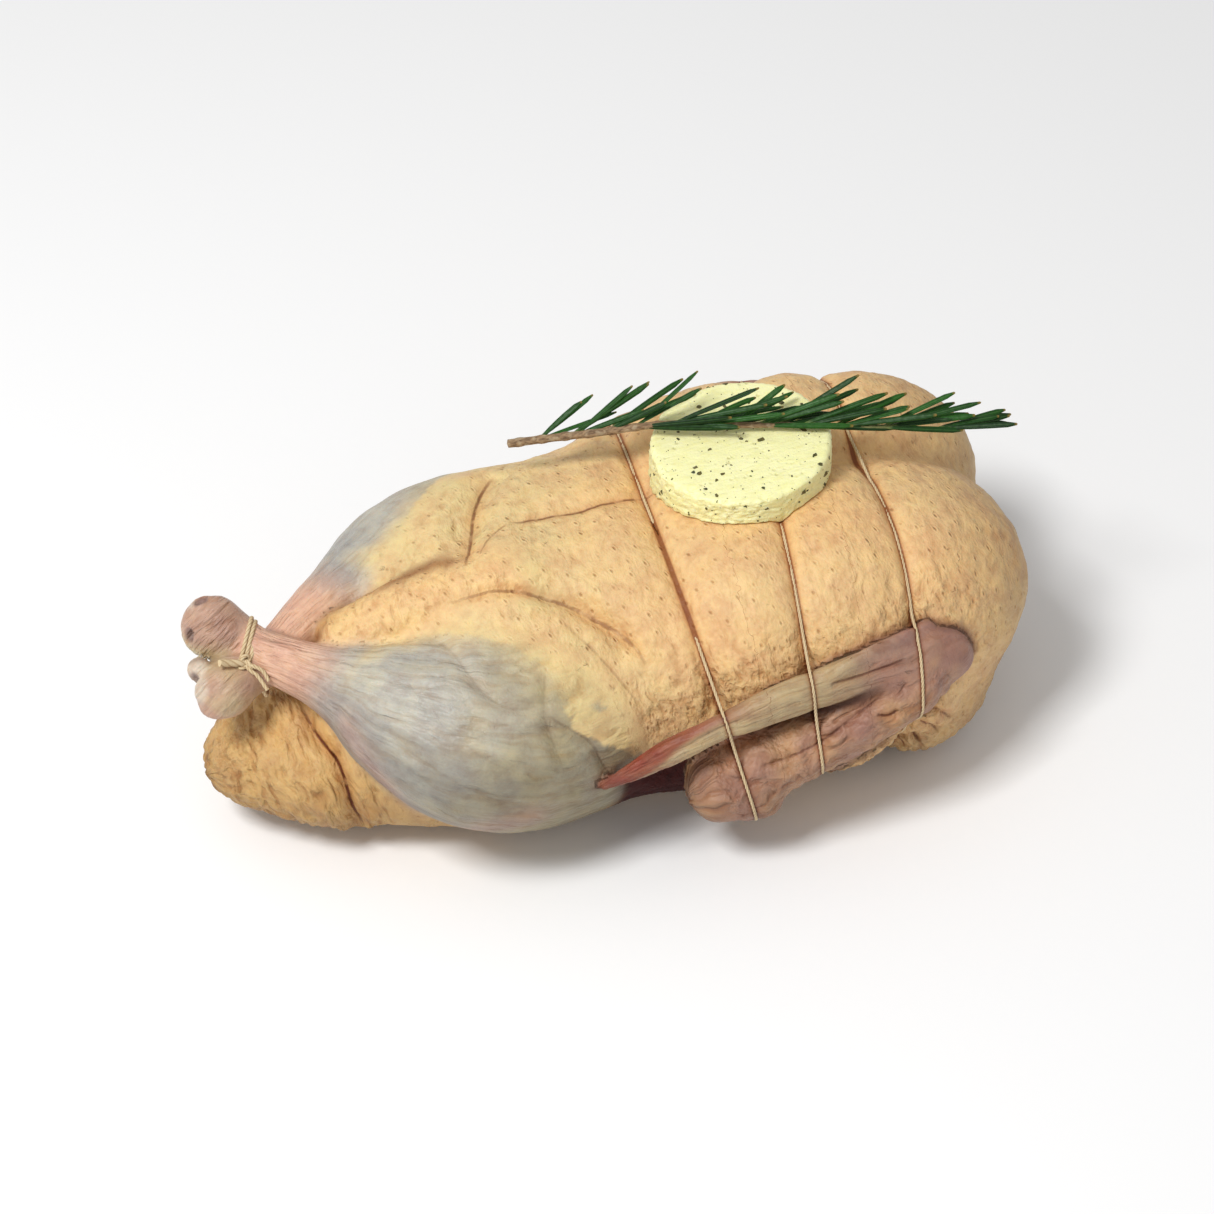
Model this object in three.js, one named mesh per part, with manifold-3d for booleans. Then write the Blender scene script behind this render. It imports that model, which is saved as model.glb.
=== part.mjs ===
// A whole raw duck, trussed for the oven: crossed legs tied at the hocks, wings folded flat against the
// sides, three loops of thin twine round the trunk, and a disc of herb butter and a sprig of rosemary on
// the breast. Millimetres, +Z up. The tail and the legs point along -X and the neck end along +X. The bird
// lies on its back, flat on z = 0. Its near side, where the leg that crosses on top starts, is -Y.

import * as THREE from 'three';
import { mergeVertices } from 'three/addons/utils/BufferGeometryUtils.js';
import Module from 'manifold-3d';

const wasm = await Module();
wasm.setup();

// ---------------------------------------------------------------------------------- driving dimensions

// Moves the whole so that its box stands centred over the origin.
const PLACE = [3.34, 0.6, 0];

// Facet size of the trunk along X, Y and Z, and the box that holds it.
const FACET = [8.4, 7.4, 6.8];
const REACH = { low: [-180, -102, -14], high: [172, 102, 124] };

// Fleshy lobes of the trunk: centre, half sizes, how boxy they are (2 is an ellipsoid), turn and tilt in
// degrees, and how softly each one runs into what is there already.
const TRUNK = { at: [40, 0, 50], half: [106, 69, 53.5], boxy: 2.5, blend: 1 };
const NEAR_BREAST = { at: [64, -26, 60], half: [83, 49, 50], boxy: 2.3, turn: 3, blend: 8 };
const FAR_BREAST = { at: [66, 36, 60], half: [85, 38, 50], boxy: 2.3, turn: -3, blend: 8 };
const BELLY = { at: [-28, 4, 52], half: [72, 58, 48], boxy: 2.6, tilt: 5, blend: 14 };
const ABDOMEN = { at: [-52, 0, 33], half: [64, 56, 35], boxy: 2.4, blend: 12 };
const NECK_SKIN = { at: [89, -18, 26], half: [52, 50, 28], boxy: 2.3, blend: 8 };
const WING_POCKET = { at: [-8, -72, 40], half: [13, 10, 13], boxy: 2, blend: 4 };

// Limbs: points of the centre line, the radius at each, and how much narrower the section is along an axis.
const TAIL = {
  line: [[-80, -4, 34], [-108, -3, 30], [-130, -2, 28], [-149, -3, 30]],
  radius: [44, 39, 27, 7],
  flat: 0.76,
  across: [0, 0, 1],
  blend: 6,
};
const NEAR_LEG = {
  line: [[-20, -38, 46], [-45, -42, 51], [-68, -43, 57], [-87, -36, 64], [-102, -26, 69], [-116, -15, 72],
    [-129, -5, 75], [-139, 4, 78], [-147, 10, 81]],
  radius: [28, 36, 34.5, 27, 19.5, 14, 10.5, 11.5, 12.5],
  sides: 18,
};
const FAR_LEG = {
  line: [[-20, 38, 46], [-45, 40, 54], [-68, 36, 60], [-85, 29, 66], [-100, 21, 70], [-114, 12, 71],
    [-128, 3, 69], [-140, -4, 69], [-149, -9, 71]],
  radius: [30, 34, 30, 23, 16.5, 12.5, 9.5, 10, 10.5],
  sides: 18,
};
const BELLY_FLAP = {
  line: [[-48, -9, 89], [-75, -6, 85], [-102, -3, 76]],
  radius: [15, 14, 11.5],
  flat: 0.8,
  across: [0, 0, 1],
  sides: 12,
};

// The wing on the -Y side; the other one is its mirror image.
const UPPER_ARM = { line: [[92, -60, 44], [60, -66, 36], [26, -70, 34]], radius: [16, 14, 13], blend: 6 };
const FOREARM = {
  line: [[13, -74, 35], [23, -75, 38], [36, -75, 41], [48, -77, 47], [64, -77, 55], [81, -73, 61],
    [92, -67, 65]],
  radius: [12.5, 14, 12.5, 12.5, 13, 13, 12.5],
  sides: 14,
};
const HAND = {
  line: [[92, -67, 67], [79, -71, 71], [59, -76, 71], [30, -79, 69], [2, -77, 58], [-29, -68, 40]],
  radius: [12, 12, 10, 8, 7, 2.5],
  flat: 0.7,
  across: [0, 1, 0],
  sides: 10,
};

// Folds pressed into the skin of the trunk: line, depth and width.
const FAR_FOLD = {
  line: [[-33, 44, 92], [-40, 36, 95], [-49, 24, 97], [-56, 8, 98], [-54, -5, 99]],
  depth: 7,
  width: 7,
};
const LEG_FOLD = {
  line: [[-62, -18, 96], [-48, -20, 98], [-32, -29, 97], [-17, -42, 91], [-13, -54, 86]],
  depth: 5,
  width: 6,
};
const KEEL_FOLD = {
  line: [[-40, 11, 101], [20, 9, 104], [70, 8, 104], [110, 7, 98], [135, 6, 84], [148, 4, 62]],
  depth: 3,
  width: 6,
};

// Body twine: where each loop crosses the axis of the bird at LOOP_HEIGHT, and how far its plane leans.
const LOOPS = [
  { x: 20.5, leanY: 0.065, leanZ: -0.23 },
  { x: 61.6, leanY: 0.189, leanZ: -0.11 },
  { x: 90.9, leanY: 0.074, leanZ: 0.043 },
];
const LOOP_HEIGHT = 60;
const TWINE = { radius: 0.75, sides: 5, steps: 64 };

// The furrow that a loop draws into the skin. Underneath it is deeper, fully so below the lower height.
const FURROW = { depth: 3.2, width: 8, under: 1.6, underHeights: [5, 25] };

// The underside is level this far below z = 0, and is then cut off flat.
const UNDERSIDE = 0.3;

// Air between two solids, and what is added where a straight facet would cut a corner.
const CLEARANCE = 0.35;
const CORNER_ROOM = 0.4;

// Twine round the crossed hocks: its plane, its two turns, its knot and its two cut ends. The turns hold
// what lies within reach of the centre and above the tail.
const TIE = {
  at: [-133, -1, 72],
  axis: [-0.89, 0.4, 0.22],
  reach: 34,
  above: 54,
  radius: 0.95,
  sides: 5,
  steps: 24,
  turns: [-1.1, 1.1],
};
const KNOT = { radius: 2.7, reach: 2.1, sides: 8, rings: 5 };
const SHORT_END = { radius: 1.3, steps: 3, along: [4.5, 9], out: [3, 7], down: [0, 0] };
const LONG_END = { radius: 1, steps: 4, along: [-6.6, -8.8], out: [2, 2], down: [0, 5.5] };

// Herb butter: a rough disc, settled on the breast and tipped a little towards the tail.
const BUTTER = {
  at: [48, 7.5],
  radius: 32.5,
  thick: 15,
  tip: 4,
  rim: 2.2,
  rough: 0.2,
  belly: 0.3,
  bellyOut: 0.6,
  segments: 34,
  rings: [0.25, 0.5, 0.75],
  patch: 7.2,
  room: 0.56,
};

// Rosemary: a stem that lies across the butter, and the needles along it. Each needle leaves the stem at
// an angle within its spread, at a turn round it within its fan, and bends back along it.
const STEM = { from: [-30, 38], to: [120, -13], droop: 10, rise: 0.5, radius: 1.6, sides: 6, steps: 12 };
const NEEDLES = {
  count: 40,
  first: 0.12,
  length: [24, 34],
  width: 2.9,
  thick: 1.5,
  spread: [16, 34],
  closing: [1.1, 0.6],
  fan: [8, 172],
  bend: 0.12,
  shape: [[0, 0.5], [0.25, 1], [0.8, 0.9]],
  seed: 7,
};

// Colours and finishes.
const FINISH = {
  skin: { color: 0xdcbf92, roughness: 0.5 },
  twine: { color: 0xd9c7a0, roughness: 0.9 },
  butter: { color: 0xfbf6ab, roughness: 0.55 },
  rosemary: { color: 0x2c4f27, roughness: 0.6 },
};

// ------------------------------------------------------------------------------------ distance to forms

const FAR = 1e3;
const TINY = 1e-6;
const FIELD_STEPS = 5;
const TUBE_STEPS = 2;

function smoothMin(a, b, blend) {
  const overlap = Math.max(blend - Math.abs(a - b), 0) / blend;
  return Math.min(a, b) - overlap * overlap * blend / 4;
}

// A smooth curve through points of any number of coordinates, as a list of close points.
function throughPoints(points, count) {
  const mirror = (a, b) => a.map((v, i) => 2 * v - b[i]);
  const last = points.length - 1;
  const all = [mirror(points[0], points[1]), ...points, mirror(points[last], points[last - 1])];
  const curve = [];
  for (let i = 1; i < all.length - 2; i++) {
    const [a, b, c, d] = all.slice(i - 1, i + 3);
    for (let j = 0; j < count; j++) {
      const t = j / count;
      curve.push(b.map((_, k) => 0.5 * (2 * b[k] + (c[k] - a[k]) * t
        + (2 * a[k] - 5 * b[k] + 4 * c[k] - d[k]) * t * t + (3 * b[k] - a[k] - 3 * c[k] + d[k]) * t ** 3)));
    }
  }
  curve.push(points[last]);
  return curve;
}

// Distance to a lobe, near enough to true at its surface.
function lobe({ at, half, boxy, turn = 0, tilt = 0 }) {
  const rotation = new THREE.Matrix4()
    .makeRotationZ(THREE.MathUtils.degToRad(turn))
    .multiply(new THREE.Matrix4().makeRotationY(THREE.MathUtils.degToRad(-tilt)));
  const axes = [0, 1, 2].map((i) => new THREE.Vector3().setFromMatrixColumn(rotation, i));
  const offset = new THREE.Vector3();
  return (x, y, z) => {
    offset.set(x - at[0], y - at[1], z - at[2]);
    const local = axes.map((axis, i) => Math.abs(offset.dot(axis)) / half[i] + TINY);
    const power = local.map((v) => v ** (boxy - 1));
    const total = power.reduce((sum, v, i) => sum + v * local[i], 0);
    const level = total ** (1 / boxy);
    const slope = Math.hypot(...power.map((v, i) => v / half[i])) * level / total;
    return (level - 1) / slope;
  };
}

// Nearest point of a polyline: its distance, less the radius there if the points carry one, and how far
// along the line it lies. Offsets along one direction can be stretched, for a limb that is flat.
function nearest(curve, x, y, z, across, stretch) {
  let best = { score: Infinity };
  for (let i = 0; i < curve.length - 1; i++) {
    const a = curve[i];
    const b = curve[i + 1];
    const along = [b[0] - a[0], b[1] - a[1], b[2] - a[2]];
    const from = [x - a[0], y - a[1], z - a[2]];
    const dot = along[0] * from[0] + along[1] * from[1] + along[2] * from[2];
    const t = Math.min(Math.max(dot / (along[0] ** 2 + along[1] ** 2 + along[2] ** 2), 0), 1);
    const off = from.map((v, k) => v - t * along[k]);
    if (stretch) {
      const lift = (off[0] * across[0] + off[1] * across[1] + off[2] * across[2]) * stretch;
      across.forEach((v, k) => { off[k] += lift * v; });
    }
    const distance = Math.hypot(...off);
    const radius = a[3] === undefined ? 0 : a[3] + t * (b[3] - a[3]);
    if (distance - radius < best.score) {
      best = { score: distance - radius, distance, along: (i + t) / (curve.length - 1) };
    }
  }
  return best;
}

// Distance to a tapering limb.
function limb({ line, radius, flat = 1, across = [0, 0, 1] }) {
  const curve = throughPoints(line.map((point, i) => [...point, radius[i]]), FIELD_STEPS);
  return (x, y, z) => nearest(curve, x, y, z, across, 1 / flat - 1).score * Math.sqrt(flat);
}

// How much a fold presses the skin in, at its deepest half-way along it.
function fold({ line, depth, width }) {
  const curve = throughPoints(line, FIELD_STEPS);
  return (x, y, z) => {
    const { distance, along } = nearest(curve, x, y, z);
    return depth * Math.sqrt(Math.max(4 * along * (1 - along), 0)) * Math.exp(-((distance / width) ** 2));
  };
}

const loopPlane = (loop, y, z) => loop.x + loop.leanY * y + loop.leanZ * (z - LOOP_HEIGHT);

// The skin drawn in along the loops, deepest underneath, where the weight of the bird lies on the twine.
function furrows(x, y, z) {
  const low = THREE.MathUtils.smoothstep(z, ...FURROW.underHeights);
  const depth = FURROW.depth * THREE.MathUtils.lerp(FURROW.under, 1, low);
  return LOOPS.reduce((sum, loop) => {
    const away = (x - loopPlane(loop, y, z)) / Math.hypot(1, loop.leanY, loop.leanZ);
    return sum + depth * Math.exp(-((away / FURROW.width) ** 2));
  }, 0);
}

// ------------------------------------------------------------------------------------------- the trunk

// Each step takes the distance so far and gives the next one; their order is the order of the build.
const steps = [];
const add = (form, blend) => steps.push((d, x, y, z) => smoothMin(d, form(x, y, z), blend));
const cut = (form, blend) => steps.push((d, x, y, z) => -smoothMin(-d, form(x, y, z), blend));
const press = (form) => steps.push((d, x, y, z) => d + form(x, y, z));
const bothSides = (form) => (x, y, z) => form(x, -Math.abs(y), z);

for (const part of [TRUNK, NEAR_BREAST, FAR_BREAST, BELLY, ABDOMEN, NECK_SKIN]) {
  add(lobe(part), part.blend);
}
add(limb(TAIL), TAIL.blend);
add(bothSides(limb(UPPER_ARM)), UPPER_ARM.blend);
cut(bothSides(lobe(WING_POCKET)), WING_POCKET.blend);
steps.push((d, x, y, z) => Math.max(d, -z - UNDERSIDE));
press(furrows);
for (const part of [FAR_FOLD, LEG_FOLD, KEEL_FOLD]) {
  press(fold(part));
}

const skin = (x, y, z) => steps.reduce((d, step) => step(d, x, y, z), FAR);

// Half the step of a slope, the least slope trusted, and the most a vertex moves as a share of a cell.
const NUDGE = 0.5;
const LEAST_SLOPE = 0.3;
const MOST_MOVE = 0.35;

// Facets of the zero level of a distance: one vertex in each cell that it crosses, one quad round each
// crossed edge of the grid, and every vertex then moved onto the true surface.
function facets(distance, { low, high }, cell) {
  const count = low.map((v, i) => Math.ceil((high[i] - v) / cell[i]) + 1);
  const at = (i, axis) => low[axis] + i * cell[axis];
  const key = (i, j, k) => (i * count[1] + j) * count[2] + k;
  const value = new Float64Array(count[0] * count[1] * count[2]);
  for (let i = 0; i < count[0]; i++) {
    for (let j = 0; j < count[1]; j++) {
      for (let k = 0; k < count[2]; k++) {
        value[key(i, j, k)] = distance(at(i, 0), at(j, 1), at(k, 2));
      }
    }
  }
  const corners = [0, 1, 2, 3, 4, 5, 6, 7].map((n) => [n & 1, (n >> 1) & 1, (n >> 2) & 1]);
  const vertices = [];
  const vertexOf = new Map();
  for (let i = 0; i < count[0] - 1; i++) {
    for (let j = 0; j < count[1] - 1; j++) {
      for (let k = 0; k < count[2] - 1; k++) {
        const sum = [0, 0, 0];
        let crossings = 0;
        for (const corner of corners) {
          const a = value[key(i + corner[0], j + corner[1], k + corner[2])];
          for (let axis = 0; axis < 3; axis++) {
            if (corner[axis]) continue;
            const other = corner.map((v, n) => (n === axis ? 1 : v));
            const b = value[key(i + other[0], j + other[1], k + other[2])];
            if (a < 0 === b < 0) continue;
            corner.forEach((v, n) => { sum[n] += n === axis ? a / (a - b) : v; });
            crossings += 1;
          }
        }
        if (!crossings) continue;
        vertexOf.set(key(i, j, k), vertices.length);
        vertices.push([i, j, k].map((v, axis) => low[axis] + (v + sum[axis] / crossings) * cell[axis]));
      }
    }
  }
  const index = [];
  const gap = (a, b) => Math.hypot(...vertices[a].map((v, n) => v - vertices[b][n]));
  for (let i = 1; i < count[0] - 1; i++) {
    for (let j = 1; j < count[1] - 1; j++) {
      for (let k = 1; k < count[2] - 1; k++) {
        for (let axis = 0; axis < 3; axis++) {
          const next = [i, j, k].map((v, n) => (n === axis ? v + 1 : v));
          const inside = value[key(i, j, k)] < 0;
          if (inside === value[key(...next)] < 0) continue;
          const u = (axis + 1) % 3;
          const w = (axis + 2) % 3;
          const quad = [[0, 0], [1, 0], [1, 1], [0, 1]].map(([du, dw]) => {
            const cellAt = [i, j, k];
            cellAt[u] -= du;
            cellAt[w] -= dw;
            return vertexOf.get(key(...cellAt));
          });
          const [a, b, c, d] = inside ? quad : quad.reverse();
          index.push(...(gap(a, c) < gap(b, d) ? [a, b, c, a, c, d] : [a, b, d, b, c, d]));
        }
      }
    }
  }
  const limit = MOST_MOVE * Math.min(...cell);
  for (const p of vertices) {
    const here = distance(...p);
    const slope = p.map((_, axis) => {
      const ahead = [...p];
      const behind = [...p];
      ahead[axis] += NUDGE;
      behind[axis] -= NUDGE;
      return (distance(...ahead) - distance(...behind)) / (2 * NUDGE);
    });
    const steepness = Math.max(Math.hypot(...slope), LEAST_SLOPE);
    const move = THREE.MathUtils.clamp(here / steepness, -limit, limit);
    slope.forEach((v, axis) => { p[axis] -= move * v / steepness; });
  }
  const geometry = new THREE.BufferGeometry();
  geometry.setAttribute('position', new THREE.Float32BufferAttribute(vertices.flat(), 3));
  geometry.setIndex(index);
  return geometry;
}

// ------------------------------------------------------------------------------- joining and cutting

const MERGE = 1e-4;

function bare(geometry) {
  const copy = geometry.clone();
  copy.deleteAttribute('normal');
  copy.deleteAttribute('uv');
  return mergeVertices(copy, MERGE);
}

function solid(geometry) {
  const merged = bare(geometry);
  return new wasm.Manifold(new wasm.Mesh({
    numProp: 3,
    vertProperties: Float32Array.from(merged.attributes.position.array),
    triVerts: Uint32Array.from(merged.index.array),
  }));
}

function geometryOf(manifold) {
  const { vertProperties, triVerts } = manifold.getMesh();
  const geometry = new THREE.BufferGeometry();
  geometry.setAttribute('position', new THREE.BufferAttribute(vertProperties, 3));
  geometry.setIndex(new THREE.BufferAttribute(triVerts, 1));
  return geometry;
}

function joined(geometries) {
  return geometryOf(geometries.map(solid).reduce((whole, part) => whole.add(part)));
}

function mesh(name, geometry, finish) {
  const result = new THREE.Mesh(geometry, new THREE.MeshStandardMaterial({ ...finish, metalness: 0 }));
  result.name = name;
  geometry.computeVertexNormals();
  return result;
}

// ----------------------------------------------------------------------------------- limbs and the bird

// A tapering limb as a closed tube with rounded ends, rings of so many sides.
function tapered({ line, radius, flat = 1, across = [0, 0, 1], sides }) {
  const curve = throughPoints(line.map((point, i) => [...point, radius[i]]), TUBE_STEPS);
  const narrow = new THREE.Vector3(...across);
  const point = (i) => new THREE.Vector3(...curve[THREE.MathUtils.clamp(i, 0, curve.length - 1)]);
  const rings = [];
  const ringAt = (i, reach, size) => {
    const along = point(i + 1).sub(point(i - 1)).normalize();
    const thin = narrow.clone().addScaledVector(along, -along.dot(narrow)).normalize();
    const wide = along.clone().cross(thin);
    const centre = point(i).addScaledVector(along, reach);
    rings.push(Array.from({ length: sides }, (_, n) => {
      const angle = 2 * Math.PI * n / sides;
      return centre.clone().addScaledVector(thin, flat * size * Math.cos(angle))
        .addScaledVector(wide, size * Math.sin(angle));
    }));
    return centre;
  };
  const last = curve.length - 1;
  const round = [Math.PI / 3, Math.PI / 6];
  const poles = [ringAt(0, -curve[0][3], 0)];
  rings.pop();
  round.forEach((a) => ringAt(0, -curve[0][3] * Math.sin(a), curve[0][3] * Math.cos(a)));
  curve.forEach((_, i) => ringAt(i, 0, curve[i][3]));
  round.reverse().forEach((a) => ringAt(last, curve[last][3] * Math.sin(a), curve[last][3] * Math.cos(a)));
  poles.push(ringAt(last, curve[last][3], 0));
  rings.pop();
  const index = [];
  const vertex = (r, n) => r * sides + n % sides;
  const pole = rings.length * sides;
  for (let n = 0; n < sides; n++) {
    index.push(pole, vertex(0, n + 1), vertex(0, n));
    index.push(pole + 1, vertex(rings.length - 1, n), vertex(rings.length - 1, n + 1));
    for (let r = 0; r < rings.length - 1; r++) {
      index.push(vertex(r, n), vertex(r, n + 1), vertex(r + 1, n + 1));
      index.push(vertex(r, n), vertex(r + 1, n + 1), vertex(r + 1, n));
    }
  }
  const geometry = new THREE.BufferGeometry().setFromPoints([...rings.flat(), ...poles]);
  geometry.setIndex(index);
  return geometry;
}

function otherSide(part) {
  return { ...part, line: part.line.map(([x, y, z]) => [x, -y, z]) };
}

// The bird rests on what is cut away below z = 0.
function birdGeometry() {
  const wings = [FOREARM, HAND].flatMap((part) => [part, otherSide(part)]);
  const limbs = [NEAR_LEG, FAR_LEG, BELLY_FLAP, ...wings].map(tapered);
  const [length, width, height] = REACH.high.map((v, i) => v - REACH.low[i]);
  const ground = new THREE.BoxGeometry(2 * length, 2 * width, height).translate(0, 0, -height / 2);
  const whole = [facets(skin, REACH, FACET), ...limbs].map(solid).reduce((a, b) => a.add(b));
  return geometryOf(whole.subtract(solid(ground)));
}

const bird = mesh('bird', birdGeometry(), FINISH.skin);

// ------------------------------------------------------------------------------------------- the twine

// Where a plane cuts a mesh: the points where it crosses the edges of the triangles.
function section(geometry, plane, keep) {
  const position = geometry.attributes.position;
  const index = geometry.index.array;
  const points = [];
  const corner = [new THREE.Vector3(), new THREE.Vector3(), new THREE.Vector3()];
  for (let i = 0; i < index.length; i += 3) {
    corner.forEach((v, n) => v.fromBufferAttribute(position, index[i + n]));
    for (let n = 0; n < 3; n++) {
      const a = corner[n];
      const b = corner[(n + 1) % 3];
      const da = plane.distanceToPoint(a);
      const db = plane.distanceToPoint(b);
      if (da < 0 === db < 0) continue;
      const point = a.clone().lerp(b, da / (da - db));
      if (keep(point)) points.push(point);
    }
  }
  return points;
}

// The outline that a string pulled tight round flat points takes, as points of the plane, anticlockwise.
function taut(flat) {
  const sorted = [...flat].sort((a, b) => a.x - b.x || a.y - b.y);
  const half = (points) => {
    const chain = [];
    for (const p of points) {
      while (chain.length > 1) {
        const a = chain[chain.length - 2];
        const b = chain[chain.length - 1];
        if ((b.x - a.x) * (p.y - a.y) - (b.y - a.y) * (p.x - a.x) > 0) break;
        chain.pop();
      }
      chain.push(p);
    }
    return chain.slice(0, -1);
  };
  return [...half(sorted), ...half(sorted.reverse())];
}

// The outline grown outwards by a distance, its corners rounded, as evenly spaced points.
function grown(outline, distance, count) {
  const raw = [];
  outline.forEach((p, i) => {
    const before = outline[(i + outline.length - 1) % outline.length];
    const after = outline[(i + 1) % outline.length];
    for (const [a, b] of [[before, p], [p, after]]) {
      const out = new THREE.Vector2(b.y - a.y, a.x - b.x).normalize();
      raw.push(p.clone().addScaledVector(out, distance));
    }
  });
  const lengths = raw.map((p, i) => p.distanceTo(raw[(i + 1) % raw.length]));
  const total = lengths.reduce((sum, v) => sum + v, 0);
  const even = [];
  let i = 0;
  let passed = 0;
  for (let n = 0; n < count; n++) {
    const wanted = total * n / count;
    while (passed + lengths[i] < wanted) {
      passed += lengths[i];
      i += 1;
    }
    even.push(raw[i].clone().lerp(raw[(i + 1) % raw.length], (wanted - passed) / lengths[i]));
  }
  return even;
}

// The closed path of a string pulled tight round a mesh in a plane through a point.
function tightPath(geometry, centre, normal, radius, count, keep = () => true) {
  const e1 = new THREE.Vector3(0, 1, 0).addScaledVector(normal, -normal.y).normalize();
  const e2 = normal.clone().cross(e1);
  const flat = [];
  for (const shift of [-radius, 0, radius]) {
    const through = centre.clone().addScaledVector(normal, shift);
    const plane = new THREE.Plane().setFromNormalAndCoplanarPoint(normal, through);
    for (const point of section(geometry, plane, keep)) {
      const from = point.clone().sub(centre);
      flat.push(new THREE.Vector2(from.dot(e1), from.dot(e2)));
    }
  }
  const margin = radius + CLEARANCE + CORNER_ROOM;
  return grown(taut(flat), margin, count)
    .map((p) => centre.clone().addScaledVector(e1, p.x).addScaledVector(e2, p.y));
}

function ring(path, { radius, sides, steps: count }) {
  const curve = new THREE.CatmullRomCurve3(path, true, 'centripetal');
  return bare(new THREE.TubeGeometry(curve, count, radius, sides, true));
}

const loops = LOOPS.map((loop, i) => {
  const normal = new THREE.Vector3(1, -loop.leanY, -loop.leanZ).normalize();
  const centre = new THREE.Vector3(loop.x, 0, LOOP_HEIGHT);
  const path = tightPath(bird.geometry, centre, normal, TWINE.radius, TWINE.steps);
  return mesh(`twine_loop_${i + 1}`, ring(path, TWINE), FINISH.twine);
});

// A short round bar along a curve, closed at both ends.
function bar(curve, radius, sides, count) {
  const outline = new THREE.Shape();
  for (let i = 0; i < sides; i++) {
    const angle = 2 * Math.PI * i / sides;
    outline[i ? 'lineTo' : 'moveTo'](radius * Math.cos(angle), radius * Math.sin(angle));
  }
  outline.closePath();
  return bare(new THREE.ExtrudeGeometry(outline, { extrudePath: curve, steps: count, curveSegments: 1 }));
}

// A cut end of the tie: it leaves the knot and runs along the legs, away from them and down.
function cutEnd(knot, axis, away, down, { along, out, down: drop, radius, steps: count }) {
  const bends = along.map((distance, i) => knot.clone().addScaledVector(axis, distance)
    .addScaledVector(away, out[i]).addScaledVector(down, drop[i]));
  return bar(new THREE.CatmullRomCurve3([knot, ...bends]), radius, TIE.sides, count);
}

function legTie() {
  const axis = new THREE.Vector3(...TIE.axis).normalize();
  const centre = new THREE.Vector3(...TIE.at);
  const held = (point) => point.distanceTo(centre) < TIE.reach && point.z > TIE.above;
  const paths = TIE.turns.map((shift) => {
    const middle = centre.clone().addScaledVector(axis, shift);
    return tightPath(bird.geometry, middle, axis, TIE.radius, TIE.steps, held);
  });
  // The knot sits low on the near side of the first turn, half-way to the second.
  const low = (p) => p.z + p.y;
  const lowest = paths[0].reduce((a, b) => (low(a) < low(b) ? a : b));
  const foot = lowest.clone().addScaledVector(axis, -TIE.turns[0]);
  const away = foot.clone().sub(centre).projectOnPlane(axis).normalize();
  const knot = foot.clone().addScaledVector(away, KNOT.reach);
  const down = new THREE.Vector3(0, 0, -1).projectOnPlane(away).normalize();
  return joined([
    ...paths.map((path) => ring(path, TIE)),
    new THREE.SphereGeometry(KNOT.radius, KNOT.sides, KNOT.rings).translate(...knot),
    cutEnd(knot, axis, away, down, SHORT_END),
    cutEnd(knot, axis, away, down, LONG_END),
  ]);
}

const tie = mesh('leg_tie', legTie(), FINISH.twine);

// ------------------------------------------------------------------------------------------ the butter

// Height of the highest of some meshes over a small square patch.
const ABOVE_ALL = 300;
const PITCH = 1.4;

function heightOver(meshes, x, y, patch, pitch = PITCH) {
  const caster = new THREE.Raycaster();
  const down = new THREE.Vector3(0, 0, -1);
  let height = -Infinity;
  for (let dx = -patch; dx <= patch; dx += pitch) {
    for (let dy = -patch; dy <= patch; dy += pitch) {
      caster.set(new THREE.Vector3(x + dx, y + dy, ABOVE_ALL), down);
      const [hit] = caster.intersectObjects(meshes);
      if (hit) height = Math.max(height, hit.point.z);
    }
  }
  return height;
}

// A broken edge that repeats all the way round: the sum of a few waves.
const uneven = (angle, height) => 0.5 * Math.sin(3 * angle + 1)
  + 0.35 * Math.sin(7 * angle + 0.4 * height) + 0.25 * Math.sin(11 * angle - 0.7 * height);

// The underside follows the skin and the loops, and the top is flat but tipped.
function butterDisc() {
  const { at, radius, thick, rim, rough, patch } = BUTTER;
  const bed = [bird, ...loops];
  const seat = heightOver(bed, ...at, patch) + CLEARANCE;
  const profile = [
    [0, 0],
    ...BUTTER.rings.map((share) => [share * radius, 0]),
    [radius - BUTTER.bellyOut, 0],
    [radius, BUTTER.belly * thick],
    [radius - rough, thick - rim],
    [radius - rim, thick],
    [radius / 2, thick],
    [0, thick],
  ].map(([r, z]) => new THREE.Vector2(r, z));
  const geometry = bare(new THREE.LatheGeometry(profile, BUTTER.segments).rotateX(Math.PI / 2));
  const position = geometry.attributes.position;
  const slope = Math.tan(THREE.MathUtils.degToRad(BUTTER.tip));
  const innerEdge = radius - 2 * rim;
  for (let i = 0; i < position.count; i++) {
    const p = new THREE.Vector3().fromBufferAttribute(position, i);
    const angle = Math.atan2(p.y, p.x);
    const out = Math.hypot(p.x, p.y);
    const edge = out > innerEdge ? 1 + uneven(angle, p.z) / radius : 1;
    const x = at[0] + p.x * edge;
    const y = at[1] + p.y * edge;
    const under = p.z < MERGE;
    const top = seat + slope * p.x + p.z + rough * uneven(angle, out);
    position.setXYZ(i, x, y, under ? heightOver(bed, x, y, patch) + BUTTER.room : top);
  }
  return geometry;
}

const butter = mesh('herb_butter', butterDisc(), FINISH.butter);

// --------------------------------------------------------------------------------------- the rosemary

// A linear congruential generator, with the usual constants for 32 bits.
function seededRandom(seed) {
  const modulus = 2 ** 32;
  let state = seed;
  return () => {
    state = (state * 1664525 + 1013904223) % modulus;
    return state / modulus;
  };
}

const GOLDEN = 0.618;
const SPRIG_BED = 0.9;
const SPRIG_PITCH = 6;
const UP = new THREE.Vector3(0, 0, 1);
const STEM_LINE = new THREE.Vector3(STEM.to[0] - STEM.from[0], STEM.to[1] - STEM.from[1], 0).normalize();

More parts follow.
